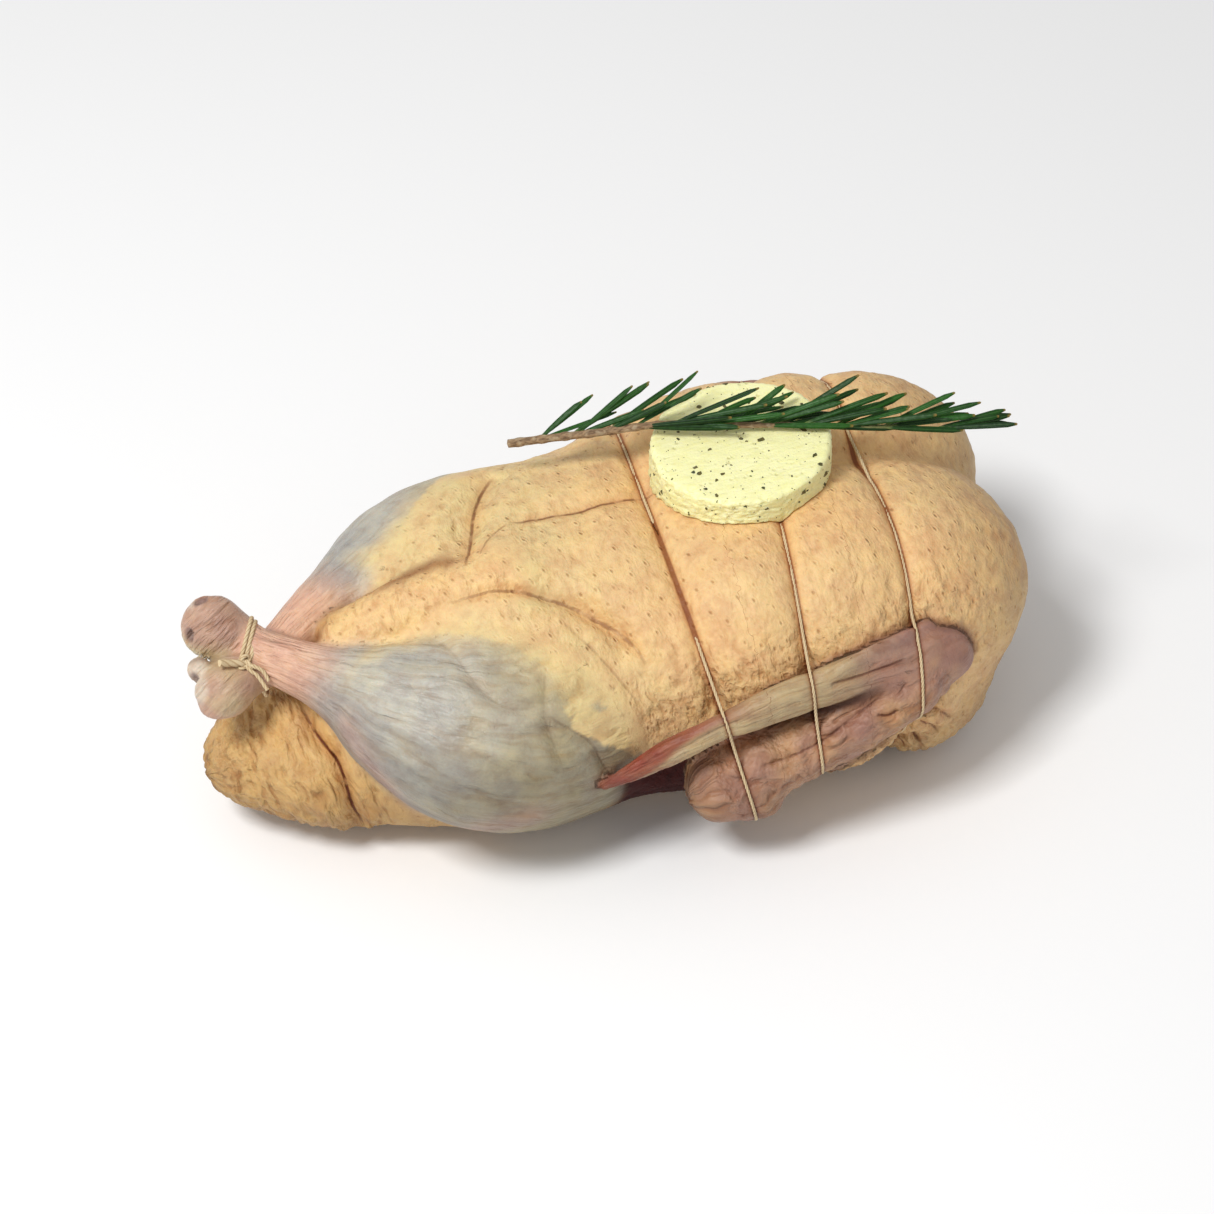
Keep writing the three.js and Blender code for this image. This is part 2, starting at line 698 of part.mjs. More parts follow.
// A needle: a thin blade of diamond section that starts in the stem and bends back along it.
function needle(foot, direction, length) {
  const sideways = direction.clone().cross(UP).normalize();
  const lift = direction.clone().cross(sideways).normalize();
  const middle = (along) => foot.clone().addScaledVector(direction, along * length)
    .addScaledVector(STEM_LINE, NEEDLES.bend * length * along ** 2);
  const corners = NEEDLES.shape.flatMap(([along, size]) => [0, 1, 2, 3].map((quarter) => {
    const angle = quarter * Math.PI / 2;
    return middle(along).addScaledVector(sideways, size * NEEDLES.width / 2 * Math.cos(angle))
      .addScaledVector(lift, size * NEEDLES.thick / 2 * Math.sin(angle));
  }));
  corners.push(middle(1));
  const index = [0, 2, 1, 0, 3, 2];
  const last = (NEEDLES.shape.length - 1) * 4;
  for (let ringStart = 0; ringStart < last; ringStart += 4) {
    for (let n = 0; n < 4; n++) {
      const a = ringStart + n;
      const b = ringStart + (n + 1) % 4;
      index.push(a, b, b + 4, a, b + 4, a + 4);
    }
  }
  for (let n = 0; n < 4; n++) {
    index.push(last + n, last + (n + 1) % 4, last + 4);
  }
  const geometry = new THREE.BufferGeometry().setFromPoints(corners);
  geometry.setIndex(index);
  return geometry;
}

// The stem drops over the edge of the butter towards its cut end and lies level beyond it.
function sprig() {
  const random = seededRandom(NEEDLES.seed);
  const bed = heightOver([butter], ...BUTTER.at, SPRIG_BED * BUTTER.radius, SPRIG_PITCH);
  const rest = bed + STEM.radius + STEM.rise;
  const heights = [[0, 1], [0.18, 0.5], [0.36, 0], [0.7, 0], [1, 0.1]];
  const line = new THREE.CatmullRomCurve3(heights.map(([t, droop]) => new THREE.Vector3(
    THREE.MathUtils.lerp(STEM.from[0], STEM.to[0], t),
    THREE.MathUtils.lerp(STEM.from[1], STEM.to[1], t),
    rest - droop * STEM.droop,
  )));
  const parts = [bar(line, STEM.radius, STEM.sides, STEM.steps)];
  const between = ([low, high]) => THREE.MathUtils.lerp(low, high, random());
  for (let i = 0; i < NEEDLES.count; i++) {
    const t = THREE.MathUtils.lerp(NEEDLES.first, 1, (i + 0.5) / NEEDLES.count);
    const along = line.getTangentAt(t);
    const side = UP.clone().cross(along).normalize();
    const turn = THREE.MathUtils.degToRad(THREE.MathUtils.lerp(...NEEDLES.fan, (i * GOLDEN) % 1));
    const closing = THREE.MathUtils.lerp(...NEEDLES.closing, t);
    const spread = THREE.MathUtils.degToRad(between(NEEDLES.spread) * closing);
    const out = side.multiplyScalar(Math.cos(turn)).addScaledVector(UP, Math.sin(turn));
    const direction = along.multiplyScalar(Math.cos(spread)).addScaledVector(out, Math.sin(spread));
    parts.push(needle(line.getPointAt(t), direction.normalize(), between(NEEDLES.length)));
  }
  return joined(parts);
}

const rosemary = mesh('rosemary_sprig', sprig(), FINISH.rosemary);

const group = new THREE.Group();
group.add(bird, ...loops, tie, butter, rosemary);
group.position.set(...PLACE);

export default group;
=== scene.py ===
# %% [markdown]
# # A raw duck, trussed for the oven
#
# This lesson builds one whole raw duck. It lies on its back with its legs crossed and tied, its wings folded
# against its sides and three loops of thin twine round its trunk. A slice of herb butter and a sprig of rosemary
# lie on the breast.
#
# The measured model comes first. It says how large everything is and where it lies, and each finer piece below
# stands for one of its solids. Its box is kept, so that the two sizes can be compared at the end.

# %% Load the measured model
import math
from functools import reduce

import bpy
import numpy as np
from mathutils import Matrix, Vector
from mathutils.bvhtree import BVHTree
from mathutils.kdtree import KDTree


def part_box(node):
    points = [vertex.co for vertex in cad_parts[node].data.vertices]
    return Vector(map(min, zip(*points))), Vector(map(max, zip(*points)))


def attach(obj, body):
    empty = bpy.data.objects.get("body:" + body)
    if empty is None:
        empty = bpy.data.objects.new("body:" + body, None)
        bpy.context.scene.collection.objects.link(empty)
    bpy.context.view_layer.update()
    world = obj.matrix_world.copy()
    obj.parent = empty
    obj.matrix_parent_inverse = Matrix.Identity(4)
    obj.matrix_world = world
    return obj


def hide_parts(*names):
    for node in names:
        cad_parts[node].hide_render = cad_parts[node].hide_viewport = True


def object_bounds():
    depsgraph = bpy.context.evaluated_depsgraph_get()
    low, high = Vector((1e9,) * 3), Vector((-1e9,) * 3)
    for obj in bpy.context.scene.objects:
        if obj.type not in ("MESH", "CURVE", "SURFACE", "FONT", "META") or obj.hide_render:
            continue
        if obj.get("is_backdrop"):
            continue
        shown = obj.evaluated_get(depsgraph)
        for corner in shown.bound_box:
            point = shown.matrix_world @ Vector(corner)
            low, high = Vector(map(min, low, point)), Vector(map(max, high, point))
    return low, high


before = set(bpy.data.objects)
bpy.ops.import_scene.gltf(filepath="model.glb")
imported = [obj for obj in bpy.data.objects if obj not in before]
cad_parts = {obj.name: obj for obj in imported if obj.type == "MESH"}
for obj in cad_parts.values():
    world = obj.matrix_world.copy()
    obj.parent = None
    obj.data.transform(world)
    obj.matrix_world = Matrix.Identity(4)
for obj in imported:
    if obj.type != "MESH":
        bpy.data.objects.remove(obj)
measured_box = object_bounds()
print("measured nodes:", sorted(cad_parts))

# %% [markdown]
# ## Units and small helpers
#
# Blender works in metres here, but skin is easier to think of in millimetres. So every form is worked out in
# millimetres with numpy, in the bird's own axes, and is turned into metres once, when its mesh is made. Numpy
# handles a hundred thousand points in one line, which keeps this far quicker than loops over vertices.

# %% Helpers for numbers
PLACE = np.array([3.34, 0.6, 0.0])
FAR = 1e3


def ramp(low, high, x):
    """0 below low, 1 above high, and smooth between them."""
    t = np.clip((x - low) / (high - low), 0, 1)
    return t * t * (3 - 2 * t)


def smooth_min(a, b, blend):
    overlap = np.maximum(blend - np.abs(a - b), 0) / blend
    return np.minimum(a, b) - overlap * overlap * blend / 4


def unit(v):
    v = np.asarray(v, float)
    return v / np.linalg.norm(v, axis=-1, keepdims=True)


def near_side(p):
    """Points of the far side moved to the near side, as both wings are alike."""
    x, y, z = p.T
    return np.column_stack([x, -np.abs(y), z])


def search_tree(points):
    """A tree that finds the nearest of some points and its place in their list."""
    made = KDTree(len(points))
    for i, q in enumerate(points):
        made.insert(q, i)
    made.balance()
    return made


def smooth_line(points, steps):
    """A smooth curve through points of any number of coordinates."""
    p = np.array(points, float)
    p = np.vstack([2 * p[0] - p[1], p, 2 * p[-1] - p[-2]])
    t = (np.arange(steps) / steps)[:, None]
    spans = []
    for a, b, c, d in zip(p[:-3], p[1:-2], p[2:-1], p[3:]):
        spans.append(0.5 * (2 * b + (c - a) * t + (2 * a - 5 * b + 4 * c - d) * t ** 2
                            + (3 * b - a - 3 * c + d) * t ** 3))
    return np.vstack([*spans, p[-2:-1]])


def nearest_on(line, p, across=(0, 0, 1), stretch=0.0):
    """For each point p: how far it is from the line, less the line's radius; the share of the line passed; and
    the offset from it. Offsets along one direction can be stretched, for a limb that is flat."""
    line = np.asarray(line, float)
    radius = line[:, 3] if line.shape[1] > 3 else np.zeros(len(line))
    best = np.full(len(p), np.inf)
    along = np.zeros(len(p))
    offset = np.zeros((len(p), 3))
    side = np.array(across, float)
    for i in range(len(line) - 1):
        a = line[i, :3]
        step = line[i + 1, :3] - a
        from_a = p - a
        t = np.clip(from_a @ step / (step @ step), 0, 1)
        off = from_a - t[:, None] * step
        reach = off + (off @ side)[:, None] * side * stretch if stretch else off
        d = np.sqrt((reach * reach).sum(1)) - (radius[i] + t * (radius[i + 1] - radius[i]))
        closer = d < best
        best[closer] = d[closer]
        along[closer] = (i + t[closer]) / (len(line) - 1)
        offset[closer] = off[closer]
    return best, along, offset


def noise(p, seed=0):
    """Smooth noise from -1 to 1, one lump for each unit of p."""
    cell = np.floor(p).astype(np.int64)
    local = p - cell
    fade = local ** 3 * (local * (local * 6 - 15) + 10)
    total = np.zeros(len(p))
    for corner in np.ndindex(2, 2, 2):
        c = cell + corner
        h = c[:, 0] * 374761393 + c[:, 1] * 668265263 + c[:, 2] * 2147483647 + seed * 1274126177
        h = ((h & 0xFFFFFFFF) ^ ((h & 0xFFFFFFFF) >> 13)) * 1274126177 & 0xFFFFFFFF
        h ^= h >> 16
        slope = np.stack([(h & 255) / 127.5 - 1, ((h >> 8) & 255) / 127.5 - 1,
                          ((h >> 16) & 255) / 127.5 - 1], 1)
        weight = np.prod(np.where(corner, fade, 1 - fade), axis=1)
        total += weight * ((local - corner) * slope).sum(1)
    return total * 1.3


print("place of the bird's own axes in the frame, mm:", PLACE)

# %% [markdown]
# ## The flesh as a distance
#
# A plump bird has no edges to draw and no flat sides to start from. One way to make it is to sculpt, another is to
# push a subdivided cage about. This lesson uses a distance instead: a function that says how far any point lies
# from the skin. Lobes of flesh, tapering limbs and pressed-in folds are each one short function, and a smooth
# minimum melts one into the next, as skin does where it stretches from the trunk over a thigh. The names and most
# sizes are those of the measured model, so the fine bird lies where the measured one does. Only the shanks are a
# little slimmer here, and the last part of the wing lies further forward.

# %% Sizes of the bird
TRUNK = dict(at=(40, 0, 50), half=(106, 69, 53.5), boxy=2.5, blend=1)
NEAR_BREAST = dict(at=(64, -26, 60), half=(83, 49, 50), boxy=2.3, turn=3, blend=8)
FAR_BREAST = dict(at=(66, 36, 60), half=(85, 38, 50), boxy=2.3, turn=-3, blend=8)
BELLY = dict(at=(-28, 4, 52), half=(72, 58, 48), boxy=2.6, tilt=5, blend=14)
ABDOMEN = dict(at=(-52, 0, 33), half=(64, 56, 35), boxy=2.4, blend=12)
NECK_SKIN = dict(at=(86, -18, 26), half=(50.5, 50, 28), boxy=2.3, blend=8)
WING_POCKET = dict(at=(-8, -72, 40), half=(13, 10, 13), boxy=2, blend=4)

TAIL = dict(line=[(-80, -4, 34), (-108, -3, 30), (-130, -3, 28), (-142, -4, 27), (-152, -5, 26)],
            radius=[44, 39, 26.5, 17, 5], flat=0.76, blend=6)
NEAR_LEG = dict(line=[(-20, -36, 48), (-45, -41, 51), (-68, -43, 57), (-87, -36, 64), (-102, -26, 69),
                      (-116, -15, 72), (-129, -5, 75), (-137, 2, 76.5), (-143, 7, 79), (-147.5, 11, 81.5)],
                radius=[25, 35.5, 34.5, 26, 17, 11.3, 8.8, 8.6, 10.2, 11.4])
FAR_LEG = dict(line=[(-20, 38, 46), (-45, 40, 54), (-68, 36, 60), (-85, 29, 66), (-100, 21, 70), (-114, 12, 71),
                     (-128, 3, 69), (-140, -3.5, 69.5), (-149, -9, 70)],
               radius=[30, 34, 30, 21.5, 14.5, 11, 8.8, 8.8, 10.2])
BELLY_FLAP = dict(line=[(-48, -9, 89), (-75, -6, 85), (-102, -3, 76)], radius=[15, 14, 11.5], flat=0.8)
UPPER_ARM = dict(line=[(92, -60, 44), (60, -66, 36), (26, -70, 34)], radius=[16, 14, 13], blend=6)
FOREARM = dict(line=[(13, -74, 36), (23, -75, 40), (36, -75.5, 44.5), (48, -77, 49.5), (64, -77, 56),
                     (81, -73, 61), (92, -67, 65)],
               radius=[12.5, 14, 13.5, 12.5, 13, 13, 12.5])
HAND = dict(line=[(92, -67, 68), (79, -71, 72.5), (59, -75.5, 74), (30, -78, 72), (2, -77, 62.5),
                  (-14, -76, 55.5), (-30, -75.5, 49)],
            radius=[12, 11.5, 8.8, 7.0, 6.0, 4.8, 2.2], flat=0.7, across=(0, 1, 0))
WING_GAP = dict(line=[(-16, -78, 43), (0, -80, 51), (16, -83, 60), (34, -85, 64), (52, -86, 67)],
                radius=[5, 5.5, 4.2, 2.6, 1.0], blend=1.5)
LEG_JOIN = dict(x=(-112, -84, -50), soft=(2.5, 8, 18))
FLAP_JOIN = dict(x=(-95, -72, -56), soft=(2.5, 5, 14))
WRIST_JOIN = dict(x=(45, 70, 92), soft=(1.5, 3, 10))
FOLDS = [  # Between belly and far leg, between belly and near leg, and along the keel.
    dict(line=[(-33, 44, 92), (-40, 36, 95), (-49, 24, 97), (-56, 8, 98), (-54, -5, 99)], depth=7, width=5.5),
    dict(line=[(-62, -18, 96), (-48, -20, 98), (-32, -29, 97), (-17, -42, 91), (-13, -54, 86)],
         depth=5, width=4.5),
    dict(line=[(-40, 11, 101), (20, 9, 104), (70, 8, 104), (110, 7, 98), (135, 6, 84), (148, 4, 62)],
         depth=2.6, width=5),
]
LOOPS = [dict(x=20.5, lean_y=0.065, lean_z=-0.23), dict(x=61.6, lean_y=0.189, lean_z=-0.11),
         dict(x=90.9, lean_y=0.074, lean_z=0.043)]
LOOP_HEIGHT = 60
FURROW = dict(depth=3.2, width=8, under=1.6, heights=(5, 25))
NOTCH = dict(depth=1.5, width=1.9, lip=0.5, lip_at=4.5, lip_width=2.6)
print("limbs:", 2 + 1 + 2 * 3, "lobes:", 6)

# %% Distances to lobes, limbs and folds
LINE_STEPS = 12


def lobe(part, p):
    turn, tilt = math.radians(part.get("turn", 0)), math.radians(part.get("tilt", 0))
    spin = np.array([[math.cos(turn), -math.sin(turn), 0], [math.sin(turn), math.cos(turn), 0], [0, 0, 1]])
    pitch = np.array([[math.cos(tilt), 0, -math.sin(tilt)], [0, 1, 0], [math.sin(tilt), 0, math.cos(tilt)]])
    half, boxy = np.array(part["half"], float), part["boxy"]
    local = np.abs((p - part["at"]) @ (spin @ pitch)) / half + 1e-6
    power = local ** (boxy - 1)
    total = (power * local).sum(1)
    level = total ** (1 / boxy)
    return (level - 1) / (np.linalg.norm(power / half, axis=1) * level / total)


def line_of(part, steps=LINE_STEPS):
    return smooth_line([(*point, r) for point, r in zip(part["line"], part["radius"])], steps)


def limb(part, p, margin=12.0):
    """Distance to a tapering limb, only worked out near it."""
    line = line_of(part)
    reach = line[:, 3:] + margin
    near = ((p > (line[:, :3] - reach).min(0)) & (p < (line[:, :3] + reach).max(0))).all(1)
    flat = part.get("flat", 1)
    d = np.full(len(p), FAR)
    if near.any():
        d[near] = nearest_on(line, p[near], part.get("across", (0, 0, 1)), 1 / flat - 1)[0] * math.sqrt(flat)
    return d


def pressed(part, p):
    """How deep a fold is at each point. It is deepest half-way along."""
    line = smooth_line(part["line"], LINE_STEPS)
    reach = 3 * part["width"]
    near = ((p > line.min(0) - reach) & (p < line.max(0) + reach)).all(1)
    depth = np.zeros(len(p))
    if near.any():
        d, along, _ = nearest_on(line, p[near])
        depth[near] = (part["depth"] * np.sqrt(np.clip(4 * along * (1 - along), 0, 1))
                       * np.exp(-(d / part["width"]) ** 2))
    return depth


def from_loop(loop, p):
    """Signed distance to the plane that a loop of twine lies in."""
    x, y, z = p.T
    plane = loop["x"] + loop["lean_y"] * y + loop["lean_z"] * (z - LOOP_HEIGHT)
    return (x - plane) / math.sqrt(1 + loop["lean_y"] ** 2 + loop["lean_z"] ** 2)


def furrows(p):
    low = ramp(*FURROW["heights"], p[:, 2])
    depth = FURROW["depth"] * (FURROW["under"] + (1 - FURROW["under"]) * low)
    return sum(depth * np.exp(-(from_loop(loop, p) / FURROW["width"]) ** 2) for loop in LOOPS)

# %% [markdown]
# ## Knuckles, knobs and the flap on the wing
#
# A few small forms make the ends of the limbs believable. The hock of the upper leg is a flared knuckle with a
# hollow end. The lower one is cut through the joint, so two round knobs of gristle show with a slit between them.
# The wrist has a knob, and a flap of skin with a blunt end lies along the hand. All are small lobes and limbs,
# melted in with a short blend or cut out.

# %% Small forms on the limbs
KNOBS = [
    dict(at=(-149.5, 12.5, 89), half=(5, 5, 5), boxy=2, blend=2),
    dict(at=(-150.5, 7, 81), half=(5, 5.5, 6), boxy=2, blend=2),
    dict(at=(-146, 10, 88), half=(6.5, 6.5, 6), boxy=2, blend=3),
    dict(at=(-156, -3, 76), half=(4.4, 4.8, 4.6), boxy=2, blend=1.2),
    dict(at=(-155.5, -10, 72.5), half=(4.4, 4.6, 5.4), boxy=2, blend=1.2),
    dict(at=(-153, -11, 66), half=(6, 6.5, 4), boxy=2, blend=1.5),
]
HOLLOWS = [
    dict(at=(-156.5, 6.5, 84.5), half=(2.4, 1.4, 2.4), boxy=2, blend=1.5),
    dict(at=(-160, -6.5, 73), half=(4.2, 1.6, 5), boxy=2, blend=1.0),
    dict(at=(-150.5, 13, 94), half=(2.4, 2.0, 2.6), boxy=2, blend=1),
]
KNOBS_BELOW = -125
ALULA = dict(line=[(50, -77.5, 79), (58, -77, 81), (68, -75, 83), (80, -72, 83), (91, -67, 81)],
             radius=[4.2, 4.6, 4.2, 3.8, 3], flat=0.6, across=(0, 1, 0))
WRIST = dict(line=[(92, -67, 74), (99, -68, 71), (103, -68, 65)], radius=[8, 8, 7.5])
ELBOW = dict(line=[(24, -77, 32), (13, -77, 33)], radius=[12.5, 11.5])


def trunk_distance(p):
    d = np.full(len(p), FAR)
    for part in (TRUNK, NEAR_BREAST, FAR_BREAST, BELLY, ABDOMEN, NECK_SKIN):
        d = smooth_min(d, lobe(part, p), part["blend"])
    return d


def join(part, p):
    """How softly a limb runs into the body, which changes along it."""
    return np.interp(p[:, 0], part["x"], part["soft"])


def wing_distance(mirrored):
    hand = smooth_min(limb(HAND, mirrored), limb(ALULA, mirrored), 1.2)
    arm = smooth_min(limb(FOREARM, mirrored), limb(ELBOW, mirrored), 5)
    wing = smooth_min(arm, hand, join(WRIST_JOIN, mirrored))
    return smooth_min(wing, limb(WRIST, mirrored), 4)


def bird_distance(p):
    """Signed distance to the bird's skin, in the order that the parts are melted together."""
    mirrored = near_side(p)
    d = smooth_min(trunk_distance(p), limb(TAIL, p), TAIL["blend"])
    d = smooth_min(d, limb(UPPER_ARM, mirrored), UPPER_ARM["blend"])
    d = -smooth_min(-d, lobe(WING_POCKET, mirrored), WING_POCKET["blend"])
    d = np.maximum(d, -p[:, 2] - 0.3) + furrows(p)
    for fold in FOLDS:
        d = d + pressed(fold, p)
    for part, soft in ((NEAR_LEG, LEG_JOIN), (FAR_LEG, LEG_JOIN), (BELLY_FLAP, FLAP_JOIN)):
        d = smooth_min(d, limb(part, p), join(soft, p))
    wing = wing_distance(mirrored)
    flesh = 0.2 + 0.8 * ramp(-2, 3, wing - d)
    d = smooth_min(d, wing, 1.5)
    d = -smooth_min(-d, limb(WING_GAP, mirrored), WING_GAP["blend"])
    near_hocks = p[:, 0] < KNOBS_BELOW
    for group, sign in ((KNOBS, 1), (HOLLOWS, -1)):
        for part in group:
            d[near_hocks] = sign * smooth_min(sign * d[near_hocks], lobe(part, p[near_hocks]), part["blend"])
    away = np.stack([np.abs(from_loop(loop, p)) for loop in LOOPS], 1).min(1)
    notch = NOTCH["depth"] * np.exp(-(away / NOTCH["width"]) ** 2)
    lip = NOTCH["lip"] * np.exp(-((away - NOTCH["lip_at"]) / NOTCH["lip_width"]) ** 2)
    d = d + (notch - lip) * flesh * ramp(3, 12, p[:, 2])
    return np.maximum(d, -p[:, 2])


print("distance at the middle of the trunk:", bird_distance(np.array([[40.0, 0.0, 50.0]])).round(1))

# %% [markdown]
# ## From a distance to a mesh
#
# The distance is worked out at the points of a grid, first coarsely and then finely, but only near the skin. Each
# fine cell that the skin crosses gets one vertex, and each crossed edge of the grid gets one quad: this is the
# method called surface nets. It gives even, closed, outward-facing quads, which take fine folds well.

# %% Mesh the skin
CELL = 1.25
COARSE = 4
GRID_LOW = np.array([-168.0, -98.0, -4.0])
GRID_HIGH = np.array([158.0, 98.0, 118.0])


def distance_grid(field):
    """Distances on a fine grid, exact near the skin and roughly right elsewhere."""
    blocks = np.ceil((GRID_HIGH - GRID_LOW) / (CELL * COARSE)).astype(int)
    coarse_axes = [GRID_LOW[i] + (np.arange(blocks[i]) + 0.5) * CELL * COARSE for i in range(3)]
    centres = np.stack(np.meshgrid(*coarse_axes, indexing="ij"), -1).reshape(-1, 3)
    rough = field(centres).reshape(blocks)
    values = np.repeat(np.repeat(np.repeat(rough, COARSE, 0), COARSE, 1), COARSE, 2)
    close = np.abs(rough) < 1.3 * CELL * COARSE
    wanted = np.argwhere(np.repeat(np.repeat(np.repeat(close, COARSE, 0), COARSE, 1), COARSE, 2))
    values[tuple(wanted.T)] = field(GRID_LOW + wanted * CELL)
    return values


def surface_net(values):
    inside = values < 0
    corners = list(np.ndindex(2, 2, 2))
    nx, ny, nz = values.shape
    count = sum(inside[i:nx - 1 + i, j:ny - 1 + j, k:nz - 1 + k].astype(np.int8) for i, j, k in corners)
    crossed = (count > 0) & (count < 8)
    cells = np.argwhere(crossed)
    vertex = np.full(crossed.shape, -1, np.int64)
    vertex[crossed] = np.arange(len(cells))
    total, hits = np.zeros((len(cells), 3)), np.zeros(len(cells))
    for corner in corners:
        a = values[tuple((cells + corner).T)]
        for axis in range(3):
            if corner[axis]:
                continue
            other = np.array(corner)
            other[axis] = 1
            b = values[tuple((cells + other).T)]
            cut = (a < 0) != (b < 0)
            place = np.repeat(np.array([corner], float), len(cells), 0)
            place[:, axis] = np.where(cut, a / np.where(cut, a - b, 1), 0)
            total += place * cut[:, None]
            hits += cut
    points = GRID_LOW + (cells + total / hits[:, None]) * CELL
    quads = []
    for axis in range(3):
        u, w = (axis + 1) % 3, (axis + 2) % 3
        first, second = [slice(1, -1)] * 3, [slice(1, -1)] * 3
        first[axis], second[axis] = slice(0, -1), slice(1, None)
        changes = np.argwhere(inside[tuple(first)] != inside[tuple(second)])
        changes[:, u] += 1
        changes[:, w] += 1
        outward = inside[tuple(changes.T)]
        ring = []
        for du, dw in ((0, 0), (1, 0), (1, 1), (0, 1)):
            cell = changes.copy()
            cell[:, u] -= du
            cell[:, w] -= dw
            ring.append(vertex[tuple(cell.T)])
        ring = np.stack(ring, 1)
        quads.append(np.where(outward[:, None], ring, ring[:, ::-1]))
    return points, np.vstack(quads)


points, quads = surface_net(distance_grid(bird_distance))
print("skin:", len(points), "vertices,", 2 * len(quads), "triangles")

# %% [markdown]
# ## Which flesh is it
#
# Skin over a thigh isn't the skin of the breast: it has its own colour, wrinkles and shine. So the distance to each
# part is worked out once more at every vertex. The nearest part owns the vertex, and where two parts are equally
# near, there is a seam between them, darkened by a painted shade of raw reddish brown. Everything that follows, the
# relief and the paint alike, is told in those terms.

# %% Anatomy of a vertex
PARTS = ["trunk", "tail", "near_leg", "far_leg", "flap", "forearm", "hand"]
HOCK_FROM = -138.5

# How much painted shade darkens the seam between each two of: body, near leg, far leg, flap, forearm, hand.
SEAM_SHADE = np.zeros((6, 6))
for one, other, darkness in ((0, 1, 0.1), (0, 2, 0.2), (0, 3, 0.3), (0, 4, 0.5), (0, 5, 0.55), (1, 2, 0.55),
        (1, 3, 0.0), (1, 5, 0.4), (2, 3, 0.4), (4, 5, 0.8)):
    SEAM_SHADE[one, other] = darkness


def anatomy(p):
    """Distances to the parts, the share along each limb, and the painted shade of a seam close by."""
    x, y, z = p.T
    mirrored, trunk = near_side(p), trunk_distance(p)
    for fold in FOLDS:
        trunk = trunk + pressed(fold, p)
    trunk = trunk + furrows(p)
    forearm = np.minimum(limb(FOREARM, mirrored), limb(ELBOW, mirrored))
    hand = np.minimum.reduce([limb(HAND, mirrored), limb(WRIST, mirrored), limb(ALULA, mirrored)])
    made = dict(trunk=trunk, tail=limb(TAIL, p), near_leg=limb(NEAR_LEG, p), far_leg=limb(FAR_LEG, p),
                flap=limb(BELLY_FLAP, p), forearm=forearm, hand=hand)
    distances = np.stack([made[name] for name in PARTS], 1)
    weights = np.exp(-np.clip(distances - distances.min(1, keepdims=True), 0, 30) / 1.5)
    on_wing = 1 / (1 + np.exp(np.clip((distances[:, 5:].min(1) - distances[:, :5].min(1)) / 0.35, -30, 30)))
    for group, amount in ((slice(0, 5), 1 - on_wing), (slice(5, 7), on_wing)):
        inside = np.exp(-(distances[:, group] - distances[:, group].min(1, keepdims=True)).clip(0, 30) / 1.5)
        weights[:, group] = inside / inside.sum(1, keepdims=True) * amount[:, None]
    made["share"] = weights
    on_leg = weights[:, 2:4].sum(1) > 0.5
    made["calm"] = ramp(0.6, 0.95, weights.max(1)) * np.where(on_leg, ramp(0.5, 3, np.abs(x - HOCK_FROM)), 1)
    body = smooth_min(trunk, made["tail"], TAIL["blend"])
    touching = np.column_stack([body, *(made[name] for name in PARTS[2:])])
    order = touching.argsort(1)[:, :2]
    order.sort(axis=1)
    gap = np.partition(touching, 1, axis=1)
    made["seam"] = SEAM_SHADE[order[:, 0], order[:, 1]] * ramp(3.4, 0.0, gap[:, 1] - gap[:, 0])
    made["seam"] *= np.where(order[:, 0] == 4, ramp(86, 58, x), 1)
    made["seam"] *= np.where((order == (0, 3)).all(1), ramp(-56, -72, x) * ramp(-8, 2, y), 1)
    made["seam"] *= np.where((order[:, 0] == 0) & (order[:, 1] < 3), ramp(-98, -112, x), 1)
    for name, part, at in (("near_leg", NEAR_LEG, p), ("far_leg", FAR_LEG, p), ("tail", TAIL, p),
                           ("forearm", FOREARM, mirrored), ("hand", HAND, mirrored), ("flap", BELLY_FLAP, p)):
        along, around = np.zeros(len(p)), np.zeros(len(p))
        close = made[name] < 6
        if close.any():
            line = line_of(part)[:, :3]
            _, along[close], offset = nearest_on(line, at[close])
            tangent = unit(line[-1] - line[0])
            up = unit(np.array([0, 0, 1.0]) - tangent[2] * tangent)
            out = np.cross(tangent, up)
            around[close] = np.arctan2(offset @ out, offset @ up)
        made[name + "_along"], made[name + "_around"] = along, around
    return made


def beyond(line, side, p):
    """How far a point lies to one side of a line on the skin, mm."""
    _, _, offset = nearest_on(smooth_line(line, 6), p)
    away = offset @ unit(side)
    return np.sign(away) * np.linalg.norm(offset, axis=1)


def vertex_normals(p, faces):
    corner = p[faces]
    face = np.cross(corner[:, 2] - corner[:, 0], corner[:, -1] - corner[:, 1])
    total = np.zeros_like(p)
    for i in range(faces.shape[1]):
        np.add.at(total, faces[:, i], face)
    return unit(total + 1e-12)


facts = anatomy(points)
owner = facts["share"].argmax(1)
print("vertices of each part:", {name: int((owner == i).sum()) for i, name in enumerate(PARTS)})
